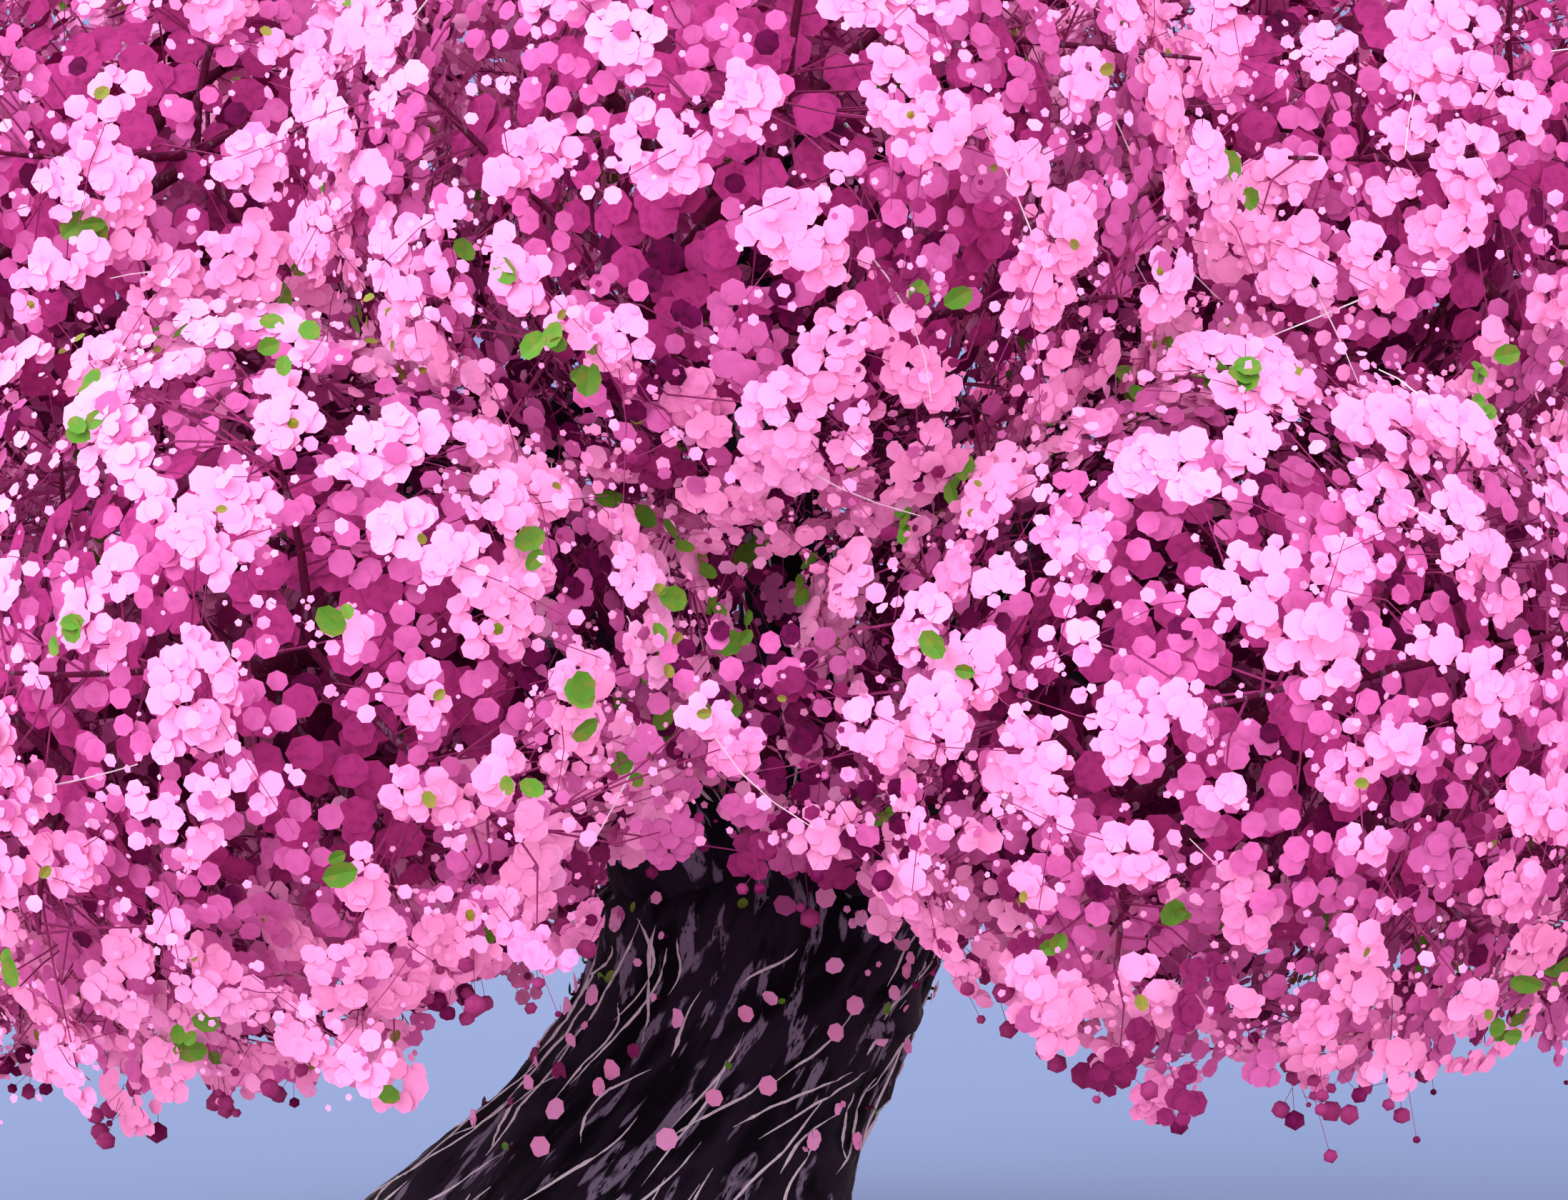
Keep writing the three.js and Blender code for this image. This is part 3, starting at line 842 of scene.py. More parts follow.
class Sprays:
    """Every spray of one layer of the crown: its place, the way it faces, its tone, and the number
    of the mass that it grows from."""

    def __init__(self, count, clear, reach, seed):
        self.random = np.random.default_rng(seed)
        found = [self.of_mass(space, count, clear, reach) for _, space in GROWN]
        self.places, self.ways, self.tones = (np.concatenate(parts) for parts in zip(*found))
        self.owners = np.repeat(np.arange(len(GROWN)), [len(places) for places, _, _ in found])

    def of_mass(self, space, count, clear, reach):
        """Sprays in a thick shell that follows the mass's surface, at the depth of their tone, so that
        the deeper tones lie deeper in as painted shade.
        """
        random = self.random
        turned = even_directions(count, random.random(count))
        scatter = SPRAY_SCATTER / math.sqrt(count)
        turned = unit(turned + random.normal(0, scatter, turned.shape))
        open_shares = space.open_shares(turned, SPACES.values())
        ways = unit(turned * (1, 1, SQUASH))
        # Painted shade: sprays near where two masses meet are dealt deeper tones.
        painted_shade = np.clip((1 - open_shares) / CLEFT_WIDTH, 0, 1)
        tones = deal_tones(space.towards(turned, np.full(count, TONE_DEPTH)), ways, painted_shade, random)
        low, high = reach[tones].T
        shares = low + (high - low) * random.random(count)
        shares = np.minimum(shares, open_shares - NEIGHBOUR_GAP)
        places = space.towards(turned, shares)
        kept = clear_of_wood(places, SPRAY_ROOM) & inside_box(places, SPRAY_MARGIN)
        kept &= open_shares > clear
        return places[kept], ways[kept], tones[kept]

    def hang_curtains(self):
        """Adds sprays that hang on drooping twigs between two boughs, above each arch."""
        random = self.random
        for number in CROSS_NUMBERS:
            out = outward_level(GROWN[number][1].centre[None])[0]
            side = np.cross((0, 0, 1), out)
            across = random.uniform(-CURTAIN_SIDE, CURTAIN_SIDE, (CURTAIN_SPRAYS, 1))
            ring = random.uniform(*CURTAIN_RING, (CURTAIN_SPRAYS, 1))
            places = (CROWN_AXIS_X, 0, 0) + out * ring + side * across
            lowest = lowest_height(places) + CURTAIN_LIFT
            places[:, 2] = lowest + (CURTAIN_TOP - lowest) * random.random(CURTAIN_SPRAYS)
            ways = unit(out + random.normal(0, CURTAIN_SCATTER, places.shape))
            kept = clear_of_wood(places, CURTAIN_ROOM)
            # Curtain sprays are deepened by painted shade.
            self.add(places[kept], ways[kept], CURTAIN_SHADE, number)

    def hang_hem(self, count, rings, rise):
        """Adds sprays between two rings under the skirt, from rise above its hem up, each on the
        mass that is nearest to it."""
        random = self.random
        index = np.arange(count)
        azimuth = 2 * math.pi * (index + random.random(count)) / count
        inner, outer = rings
        ring = inner + (outer - inner) * (index / GOLDEN_ANGLE % 1)
        level = [CROWN_AXIS_X + ring * np.cos(azimuth), ring * np.sin(azimuth)]
        places = np.stack([*level, np.zeros(count)], axis=1)
        depth = HEM_DEPTH * random.random(count) ** HEM_CROWDING
        places[:, 2] = lowest_height(places) + rise + depth
        scatter = random.normal(0, HEM_SCATTER, places.shape)
        ways = unit(outward_level(places) - (0, 0, HEM_DROOP) + scatter)
        kept = clear_of_wood(places, SPRAY_ROOM) & inside_box(places, HEM_MARGIN)
        places = places[kept]
        centres = np.array([space.centre for _, space in GROWN])
        nearest = np.linalg.norm(places[:, None] - centres[None], axis=2).argmin(axis=1)
        # Sprays under the skirt are deepened by painted shade.
        self.add(places, ways[kept], HEM_SHADE, nearest)

    def line_limbs(self):
        """Adds sprays on short spurs along the limbs, inside the crown."""
        random = self.random
        for number, (limb, _) in enumerate(GROWN):
            count = round(limb.length * SPRAYS_PER_METRE)
            share = random.uniform(LIMB_SPRAY_START, 1, count)
            foot, out = limb.surface(random.random(count), share)
            places = foot + out * random.uniform(*LIMB_SPRAY_OFFSETS, (count, 1))
            kept = clear_of_wood(places, SPRAY_ROOM)
            # Sprays along the limbs are deepened by painted shade inside the crown.
            self.add(places[kept], out[kept], LIMB_SHADE, number)

    def add(self, places, ways, painted_shade, owners):
        tones = deal_tones(places, ways, painted_shade, self.random)
        self.places = np.vstack([self.places, places])
        self.ways = np.vstack([self.ways, ways])
        self.tones = np.concatenate([self.tones, tones])
        self.owners = np.concatenate([self.owners, np.broadcast_to(owners, len(places))])

    def flowers(self, fewest, most, flower_width, tightness):
        """Places and directions of each spray's flowers, on a lopsided dome round the spray's
        place, and the number of the spray that each is in."""
        random = self.random
        count = len(self.places)
        share = random.random(count) ** SMALL_SPRAY_POWER
        share[self.tones >= ROSE] *= DEEP_SPRAY_SIZE
        numbers_in = fewest + np.floor((most + 1 - fewest) * share).astype(int)
        index = np.arange(most)
        level = 1 - DOME_SPAN * (index + 0.5) / numbers_in[:, None]
        azimuth = index * GOLDEN_ANGLE + 2 * math.pi * random.random((count, 1))
        flat = np.sqrt(np.clip(1 - level**2, 0, 1))
        dome = np.stack([flat * np.cos(azimuth), flat * np.sin(azimuth), level], -1)
        dome = unit(dome + random.normal(0, DOME_SCATTER, dome.shape))
        stretch = np.exp(random.normal(0, DOME_STRETCH, (count, 1)))
        dome = dome * np.stack([stretch, 1 / stretch, np.full_like(stretch, DOME_HEIGHT)], -1)
        turns = facing(self.ways, random.random(count) * 2 * math.pi)
        out = np.einsum("nfj,njk->nfk", dome, turns)
        size = flower_width * tightness * np.sqrt(numbers_in)[:, None, None]
        places = self.places[:, None] + out * size * random.uniform(*DOME_REACH, (count, most, 1))
        face = FACE_DOME * out + self.ways[:, None]
        face = face + FACE_OUT * outward_level(self.places)[:, None]
        ways = unit(face + random.normal(0, FACE_SCATTER, out.shape))
        used = index[None] < numbers_in[:, None]
        numbers = np.repeat(np.arange(count)[:, None], most, axis=1)
        places, ways, numbers = places[used], ways[used], numbers[used]
        kept = inside_box(places, FLOWER_MARGIN)
        return places[kept], ways[kept], numbers[kept]

    def specks(self, each, flower_width):
        """Places and directions of the smallest flowers, scattered round every spray."""
        random = self.random
        count = len(self.places)
        azimuth = 2 * math.pi * random.random((count, each))
        reach = flower_width * random.uniform(*SPECK_REACH, (count, each))
        rise = flower_width * random.uniform(*SPECK_RISE, (count, each))
        steps = np.stack([reach * np.cos(azimuth), reach * np.sin(azimuth), rise], -1)
        steps = np.einsum("nfj,njk->nfk", steps, facing(self.ways, np.zeros(count)))
        places = (self.places[:, None] + steps).reshape(-1, 3)
        face = np.repeat(self.ways + FACE_OUT * outward_level(self.places), each, axis=0)
        kept = inside_box(places, SPECK_MARGIN)
        kept &= places[:, 2] > lowest_height(places) + SPECK_LIFT
        return places[kept], unit(face + random.normal(0, SPECK_SCATTER, face.shape))[kept]

    def shoots(self, steps):
        """Side shoots that leave the sprays along the crown's face, as paths of steps points."""
        random = self.random
        count = len(self.places)
        across = unit(np.cross(self.ways, random.normal(0, 1, (count, 3))))
        starts = self.places - self.ways * SHOOT_SINK
        length = random.uniform(*SHOOT_LENGTHS, (count, 1))
        ends = starts + (across + SHOOT_OUT * self.ways - (0, 0, SHOOT_DROOP)) * length
        lift = (self.ways * SHOOT_BOW + random.normal(0, SHOOT_STRAY, (count, 3))) * length
        droops = ends[:, 2] < starts[:, 2] - DROOP_ALLOWED
        droops &= starts[:, 2] < DROOP_HEIGHT
        kept = clear_of_wood(ends, SHOOT_ROOM) & inside_box(ends, SHOOT_MARGIN) & ~droops
        return bent(starts, ends, lift, steps)[kept], np.flatnonzero(kept)


OUTER = Sprays(OUTER_SPRAYS, OUTER_CLEAR, TONE_REACH, SEED + 10)
OUTER.hang_curtains()
OUTER.hang_hem(HEM_SPRAYS, HEM_RING, HEM_RISE)
INNER = Sprays(INNER_SPRAYS, INNER_CLEAR, np.full((5, 2), INNER_REACH), SEED + 11)
INNER.line_limbs()
INNER.hang_hem(LINING_SPRAYS, LINING_RING, LINING_RISE)
HEART = Sprays(HEART_SPRAYS, HEART_CLEAR, np.full((5, 2), HEART_REACH), SEED + 12)
SHOOTS, SHOOT_SPRAYS = OUTER.shoots(SHOOT_STEPS)


def grow_spurs():
    """Short spurs straight out of the upper trunk: where each starts and ends, and its way."""
    random = np.random.default_rng(SEED + 13)
    around = random.random(SPUR_COUNT)
    share = SPUR_HIGHEST - SPUR_RUN * random.random(SPUR_COUNT) ** SPUR_CROWDING
    foot, out = trunk_surface(around, share)
    ways = unit(out + random.normal(0, SPUR_SCATTER, out.shape))
    tips = foot + ways * random.uniform(*SPUR_LENGTHS, (SPUR_COUNT, 1))
    return foot - out * SPUR_SINK, tips, ways


SPUR_FEET, SPUR_TIPS, SPUR_WAYS = grow_spurs()


def mass_twigs(space, number):
    """Ends of the stem's branches, and the starts and ends of the twigs on them, in the
    directions that the solids use."""
    draw = seeded_random(SEED + number)
    for _ in range(CORE_CORNERS):
        next(draw)
    branch_ways = even_directions(BRANCHES, [next(draw) for _ in range(BRANCHES)])
    twig_ways = even_directions(TWIGS, [next(draw) for _ in range(TWIGS)])
    branch_ends = space.towards(branch_ways, np.full(BRANCHES, BRANCH_REACH))
    open_shares = space.open_shares(twig_ways, SPACES.values())
    reaches = np.minimum(TWIG_REACH, open_shares - TWIG_NEIGHBOUR_GAP)
    twig_ends = space.towards(twig_ways, reaches)
    kept = (reaches > BRANCH_REACH + SHORTEST_TWIG) & clear_of_wood(twig_ends, TWIG_ROOM)
    nearest = np.linalg.norm(twig_ends[:, None] - branch_ends[None], axis=2).argmin(axis=1)
    return branch_ends, branch_ends[nearest][kept], twig_ends[kept]


# Flower patterns, of radius 1 and open towards +Z
PETALS = 5


def petal_corners(*rim):
    """Five petals round the middle, each with one edge low and the other high, so that it lies
    over its neighbour. Each corner of a petal's rim is (turn from its middle, radius, height)."""
    corners = [(0, 0, 0)]
    faces = []
    for petal in range(PETALS):
        middle = 2 * math.pi * petal / PETALS
        first = len(corners)
        corners += [(r * math.cos(middle + a), r * math.sin(middle + a), z) for a, r, z in rim]
        faces += [(0, first + i, first + i + 1) for i in range(len(rim) - 1)]
    return np.array(corners), np.array(faces)


ROUND_FLOWER = petal_corners((-0.62, 0.95, 0.14), (0.02, 1.0, 0.2), (0.64, 0.96, 0.22))
NOTCHED_FLOWER = petal_corners((-0.6, 1.0, 0.12), (0.02, 0.85, 0.18), (0.63, 0.98, 0.22))


def half_open_flower(sides):
    """A shallow cup with a round rim, for flowers that are small or in the shade."""
    turn = 2 * math.pi * np.arange(sides) / sides
    corners = np.stack([np.cos(turn), 0.95 * np.sin(turn), 0.1 + 0.1 * np.cos(2 * turn)], axis=1)
    return corners, np.array([(0, i, i + 1) for i in range(1, sides - 1)])


HALF_OPEN_FLOWER = half_open_flower(7)
SMALL_FLOWER = half_open_flower(6)
SPECK_FLOWER = half_open_flower(5)
ROUND, NOTCHED, HALF_OPEN, SMALL, SPECK = range(5)
FLOWERS = (ROUND_FLOWER, NOTCHED_FLOWER, HALF_OPEN_FLOWER, SMALL_FLOWER, SPECK_FLOWER)


def flower_eye():
    """A raised boss of stamens, set just proud of the petals."""
    sides = 6
    turn = 2 * math.pi * np.arange(sides) / sides
    rim = np.stack([0.4 * np.cos(turn), 0.4 * np.sin(turn), np.full(sides, 0.12)], axis=1)
    corners = np.vstack([rim, [(0, 0, 0.3)]])
    return corners, np.array([(i, (i + 1) % sides, sides) for i in range(sides)])


def bud_pattern():
    """A plump bud of radius 1, which hangs along +Z from its stalk."""
    sides = 7
    turn = 2 * math.pi * np.arange(sides) / sides
    corners = [(0, 0, 0)]
    corners += [(0.82 * math.cos(a), 0.82 * math.sin(a), 0.5) for a in turn]
    corners += [(0.9 * math.cos(a), 0.9 * math.sin(a), 1.3) for a in turn + 0.45]
    corners.append((0, 0, 1.85))
    low, high, tip = 1, 1 + sides, 1 + 2 * sides
    faces = []
    for i in range(sides):
        j = (i + 1) % sides
        faces += [(0, low + j, low + i), (low + i, low + j, high + i)]
        faces += [(low + j, high + j, high + i), (tip, high + i, high + j)]
    return np.array(corners), np.array(faces)


def leaf_pattern():
    """A folded young leaf of length 1 along +X, with its upper face turned to +Z."""
    corners = [(0, 0, 0), (0.35, 0, -0.04), (0.7, 0, -0.03), (0.98, 0, 0.03)]
    faces = []
    for side in (1, -1):
        first = len(corners)
        corners += [(0.14, 0.24 * side, 0.05), (0.48, 0.37 * side, 0.08), (0.83, 0.26 * side, 0.07)]
        fan = [(0, 1, first), (1, first + 1, first), (1, 2, first + 1)]
        fan += [(2, first + 2, first + 1), (2, 3, first + 2)]
        faces += fan if side == 1 else [face[::-1] for face in fan]
    return np.array(corners), np.array(faces)


# Materials. Each noise is (scale, detail) or (scale, detail, roughness), each edge is where a soft
# ramp starts and ends, and each bump is (distance, strength).
GRAIN_SLANT = 0.4
GRAIN_STRETCH = 0.34
BROAD_NOISE = (22.0, 2)
FIBRE_NOISE = (60.0, 5, 0.62)
PORE_NOISE = (190.0, 3)
FIBRE_IN_CREST = 0.6
PORES_IN_PATCH = 0.5
PORES_IN_HEIGHT = 0.35
CREST_EDGE = (0.6, 1.15)
PATCH_EDGE = (0.57, 0.62)
DRY_EDGE = (0.64, 0.74)
BARK_ROUGHNESS = (0.95, 0.7)
BARK_GLOSS = 0.12
BARK_BUMP = (0.004, 0.8)
PLAIN_GRAIN_SCALE = 2.5
PLAIN_RIDGE = 0.7
BLOTCH_EDGE = (0.42, 0.7)
RIB_EDGE = (0.3, 0.7)
PETAL_ROUGHNESS = (0.5, 0.8)
PETAL_BUMP = (0.0006, 0.4)


def new_group(name, inputs, outputs):
    """A shader node group with named sockets, each (name, kind, default)."""
    group = bpy.data.node_groups.new(name, "ShaderNodeTree")
    for socket, kind, default in inputs:
        made = group.interface.new_socket(
            name=socket, in_out="INPUT", socket_type="NodeSocket" + kind
        )
        if default is not None:
            made.default_value = default
    for socket, kind in outputs:
        group.interface.new_socket(name=socket, in_out="OUTPUT", socket_type="NodeSocket" + kind)
    return group, group.nodes.new("NodeGroupInput"), group.nodes.new("NodeGroupOutput")


def add_node(tree, kind, links=(), **settings):
    """A node with its settings and its inputs, each a value or another node's socket."""
    node = tree.nodes.new(kind)
    for name, value in settings.items():
        setattr(node, name, value)
    for socket, value in links:
        if isinstance(value, bpy.types.NodeSocket):
            tree.links.new(value, node.inputs[socket])
        else:
            node.inputs[socket].default_value = value
    return node


def calculate(tree, operation, *values):
    links = list(enumerate(values))
    return add_node(tree, "ShaderNodeMath", links, operation=operation).outputs[0]


def ramp(tree, value, low, high, to_low=0.0, to_high=1.0):
    """A value from low to high as a soft ramp."""
    links = [("Value", value), ("From Min", low), ("From Max", high)]
    links += [("To Min", to_low), ("To Max", to_high)]
    return add_node(tree, "ShaderNodeMapRange", links, interpolation_type="SMOOTHSTEP").outputs[0]


def blend(tree, factor, one, other):
    links = [("Factor", factor), (6, one), (7, other)]
    return add_node(tree, "ShaderNodeMix", links, data_type="RGBA").outputs[2]


def noise(tree, place, scale, detail, roughness=0.55):
    links = [("Vector", place), ("Scale", scale), ("Detail", detail), ("Roughness", roughness)]
    return add_node(tree, "ShaderNodeTexNoise", links).outputs["Fac"]


def bark_grain_group():
    """Bark: Ridge is 0 in a furrow and 1 on a ridge, and dry brushed patches lie on the plates.
    Place is where the point lies on the bark, with the grain along Z."""
    inputs = [
        ("Place", "Vector", None),
        ("Ridge", "Float", 0.5),
        ("Furrow Colour", "Color", None),
        ("Ridge Colour", "Color", None),
        ("Patch Colour", "Color", None),
        ("Patches", "Float", 0.5),
        ("Scale", "Float", 1.0),
    ]
    outputs = [("Colour", "Color"), ("Roughness", "Float"), ("Height", "Float")]
    group, given, result = new_group("bark_grain", inputs, outputs)
    scaled = add_node(
        group,
        "ShaderNodeVectorMath",
        [(0, given.outputs["Place"]), ("Scale", given.outputs["Scale"])],
        operation="SCALE",
    ).outputs[0]
    slanted = add_node(
        group,
        "ShaderNodeMapping",
        [
            ("Vector", scaled),
            ("Rotation", (0, GRAIN_SLANT, 0)),
            ("Scale", (1, 1, GRAIN_STRETCH)),
        ],
    ).outputs[0]
    broad = noise(group, slanted, *BROAD_NOISE)
    fibre = noise(group, slanted, *FIBRE_NOISE)
    pores = noise(group, slanted, *PORE_NOISE)
    worn = calculate(group, "MULTIPLY_ADD", fibre, FIBRE_IN_CREST, given.outputs["Ridge"])
    crest = ramp(group, worn, *CREST_EDGE)
    wood = blend(group, crest, given.outputs["Furrow Colour"], given.outputs["Ridge Colour"])
    patch = ramp(group, broad, *PATCH_EDGE)
    brushed = calculate(group, "MULTIPLY_ADD", pores, PORES_IN_PATCH, fibre)
    dry = ramp(group, brushed, *DRY_EDGE)
    dry_patch = calculate(group, "MULTIPLY", patch, dry)
    shown = calculate(group, "MULTIPLY", dry_patch, given.outputs["Patches"])
    colour = blend(group, shown, wood, given.outputs["Patch Colour"])
    rough = ramp(group, crest, 0, 1, *BARK_ROUGHNESS)
    height = calculate(group, "MULTIPLY_ADD", pores, PORES_IN_HEIGHT, fibre)
    for name, value in (("Colour", colour), ("Roughness", rough), ("Height", height)):
        group.links.new(value, result.inputs[name])
    return group


def petal_grain_group():
    """Petals: faint blotches between a colour and a deeper one, and fine ribs."""
    inputs = [
        ("Colour", "Color", None),
        ("Deep Colour", "Color", None),
        ("Blotches", "Float", 0.4),
        ("Blotch Scale", "Float", 60.0),
        ("Rib Scale", "Float", 700.0),
    ]
    outputs = [("Colour", "Color"), ("Roughness", "Float"), ("Height", "Float")]
    group, given, result = new_group("petal_grain", inputs, outputs)
    place = add_node(group, "ShaderNodeTexCoord").outputs["Object"]
    blotch = noise(group, place, given.outputs["Blotch Scale"], 3)
    ribs = noise(group, place, given.outputs["Rib Scale"], 2)
    blotched = ramp(group, blotch, *BLOTCH_EDGE)
    deep = calculate(group, "MULTIPLY", blotched, given.outputs["Blotches"])
    colour = blend(group, deep, given.outputs["Colour"], given.outputs["Deep Colour"])
    rough = ramp(group, ribs, *RIB_EDGE, *PETAL_ROUGHNESS)
    for name, value in (("Colour", colour), ("Roughness", rough), ("Height", ribs)):
        group.links.new(value, result.inputs[name])
    return group


def new_material(name):
    material = bpy.data.materials.new(name)
    material.use_nodes = True
    return material, material.node_tree, material.node_tree.nodes["Principled BSDF"]


def place_group(tree, name, maker, values):
    """The named group as a node with its inputs, made when a material first asks for it."""
    group = bpy.data.node_groups.get(name) or maker()
    return add_node(tree, "ShaderNodeGroup", values.items(), node_tree=group)


def finish_shader(tree, shader, grain, distance, strength):
    """Feeds a grain group's colour, roughness and height into the material's own shader."""
    links = [("Height", grain.outputs["Height"]), ("Distance", distance), ("Strength", strength)]
    bump = add_node(tree, "ShaderNodeBump", links)
    tree.links.new(grain.outputs["Colour"], shader.inputs["Base Color"])
    tree.links.new(grain.outputs["Roughness"], shader.inputs["Roughness"])
    tree.links.new(bump.outputs["Normal"], shader.inputs["Normal"])


def bark_material(name, furrow, ridge, patch, patches, on_skin=False):
    """Bark. On a skin with its own relief, the mesh says where the ridges and the grain lie."""
    material, tree, shader = new_material(name)
    values = {
        "Furrow Colour": (*furrow, 1),
        "Ridge Colour": (*ridge, 1),
        "Patch Colour": (*patch, 1),
        "Patches": patches,
    }
    if on_skin:
        ridge_at = add_node(tree, "ShaderNodeAttribute", attribute_name="bark_ridge")
        grain_at = add_node(tree, "ShaderNodeAttribute", attribute_name="bark_grain")
        values["Ridge"] = ridge_at.outputs["Fac"]
        values["Place"] = grain_at.outputs["Vector"]
    else:
        values["Place"] = add_node(tree, "ShaderNodeTexCoord").outputs["Object"]
        values["Scale"] = PLAIN_GRAIN_SCALE
        values["Ridge"] = PLAIN_RIDGE
    grain = place_group(tree, "bark_grain", bark_grain_group, values)
    shader.inputs["Specular IOR Level"].default_value = BARK_GLOSS
    finish_shader(tree, shader, grain, *BARK_BUMP)
    return material


def petal_material(name, colour, deep, blotches=0.4, gloss=0.08):
    material, tree, shader = new_material(name)
    values = {"Colour": (*colour, 1), "Deep Colour": (*deep, 1), "Blotches": blotches}
    grain = place_group(tree, "petal_grain", petal_grain_group, values)
    shader.inputs["Specular IOR Level"].default_value = gloss
    finish_shader(tree, shader, grain, *PETAL_BUMP)
    return material


# Pieces


def add_piece(name, shape, material, nodes, smooth_faces=False, attributes=None):
    """A mesh object made from arrays, which rides on the root and stands for CAD nodes."""
    vertices, groups = shape
    corners = np.concatenate([rows.ravel() for rows in groups])
    sizes = np.concatenate([np.full(len(rows), rows.shape[1]) for rows in groups])
    starts = np.concatenate([[0], np.cumsum(sizes)[:-1]])
    mesh = bpy.data.meshes.new(name)
    mesh.vertices.add(len(vertices))
    mesh.vertices.foreach_set("co", vertices.astype(np.float32).ravel())
    mesh.loops.add(len(corners))
    mesh.loops.foreach_set("vertex_index", corners.astype(np.int32))
    mesh.polygons.add(len(sizes))
    mesh.polygons.foreach_set("loop_start", starts.astype(np.int32))
    mesh.update(calc_edges=True)
    if mesh.validate():
        raise RuntimeError(f"{name} has faces that Blender had to repair")
    mesh.polygons.foreach_set("use_smooth", np.full(len(sizes), smooth_faces))
    for label, values in (attributes or {}).items():
        kind, field = ("FLOAT", "value") if values.ndim == 1 else ("FLOAT_VECTOR", "vector")
        attribute = mesh.attributes.new(label, kind, "POINT")
        attribute.data.foreach_set(field, values.astype(np.float32).ravel())
    mesh.materials.append(material)
    piece = bpy.data.objects.new(name, mesh)
    bpy.context.scene.collection.objects.link(piece)
    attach(piece, "root")
    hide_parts(*nodes)


def add_split_piece(name, shape, material):
    """One piece of blossom, or several where it would have too many triangles for one."""
    vertices, groups = shape
    (faces,) = groups
    parts = math.ceil(len(faces) / MOST_TRIANGLES)
    for i, rows in enumerate(np.array_split(faces, parts)):
        used, rows = np.unique(rows, return_inverse=True)
        label = name if parts == 1 else f"{name}_{i + 1}"
        shape = vertices[used], [rows.reshape(-1, 3)]
        add_piece(label, shape, material, MASS_NODES, True)


class CherrySizes(bpy.types.PropertyGroup):
    """Sizes and counts of what grows on the limbs"""

    bark_relief: FloatProperty(
        name="Bark relief",
        description="Depth of the bark from its furrows to its ridges",
        default=0.034,
        unit="LENGTH",
    )
    line_width: FloatProperty(
        name="Bark line width",
        description="Width of the pale lines that run along the bark",
        default=0.011,
        unit="LENGTH",
    )
    line_count: IntProperty(
        name="Bark lines",
        description="Pale lines on the trunk",
        default=115,
    )
    flower_width: FloatProperty(
        name="Flower width",
        description="Width of an open flower in the outer sprays",
        default=0.036,
        unit="LENGTH",
    )
    fewest_flowers: IntProperty(
        name="Fewest flowers",
        description="Flowers in the smallest outer spray",
        default=5,
    )
    most_flowers: IntProperty(
        name="Most flowers",
        description="Flowers in the largest outer spray",
        default=36,
    )
    leaf_length: FloatProperty(
        name="Leaf length",
        description="Length of a young leaf",
        default=0.056,
        unit="LENGTH",
    )
    bud_width: FloatProperty(
        name="Bud width",
        description="Width of the plum buds that hang under the crown",
        default=0.035,
        unit="LENGTH",
    )


def colour_property(name, description, *srgb):
    return FloatVectorProperty(
        name=name, description=description, default=linear(*srgb), subtype="COLOR", min=0, max=1
    )


class CherryColours(bpy.types.PropertyGroup):
    """Colours of the bark, the petals and the leaves"""

    bark_furrow: colour_property("Bark furrow", "Near-black plum in the furrows", 0.05, 0.03, 0.07)
    bark_ridge: colour_property("Bark ridge", "Dark plum on the bark's plates", 0.13, 0.09, 0.16)
    bark_patch: colour_property("Bark patch", "Dry grey-violet patches", 0.62, 0.57, 0.68)
    bark_line: colour_property("Bark line", "Near white of the thin raised lines", 1.0, 0.96, 0.99)
    young_twig: colour_property("Young twig", "Plum brown of twiglets and shoots", 0.42, 0.09, 0.27)
    # Painted light and shade: petal tones are dealt paler where light would fall and deeper in shade. The
    # plum, wine and dark petals inside the masses are painted shade, and mauve and dusky come from
    # painted shade together with chance.
    petal_pale: colour_property("Pale petals", "Palest pink, in the light", 1.0, 0.69, 0.91)
    petal_pink: colour_property("Pink petals", "Clear pink, the commonest", 1.0, 0.65, 0.865)
    petal_rose: colour_property("Rose petals", "Deeper rose between the pinks", 0.98, 0.605, 0.84)
    petal_mauve: colour_property("Mauve petals", "Shaded mauve behind them", 0.77, 0.38, 0.64)
    petal_plum: colour_property("Plum petals", "Plum inside the masses", 0.85, 0.43, 0.715)
    petal_wine: colour_property("Wine petals", "Wine in the heart of each mass", 0.77, 0.26, 0.58)
    petal_dusk: colour_property("Dusky petals", "Dusky plum in the shade round the fork", 0.55, 0.16, 0.4)
    petal_dark: colour_property("Dark petals", "Nearly black wine in the deepest shade", 0.4, 0.04, 0.29)
    bud: colour_property("Bud", "Dusky plum of the buds under the crown", 0.6, 0.22, 0.45)
    leaf: colour_property("Leaf", "Fresh green of the young leaves", 0.31, 0.56, 0.08)
    olive: colour_property("Olive", "Olive of stamens and leaf tips", 0.56, 0.52, 0.18)


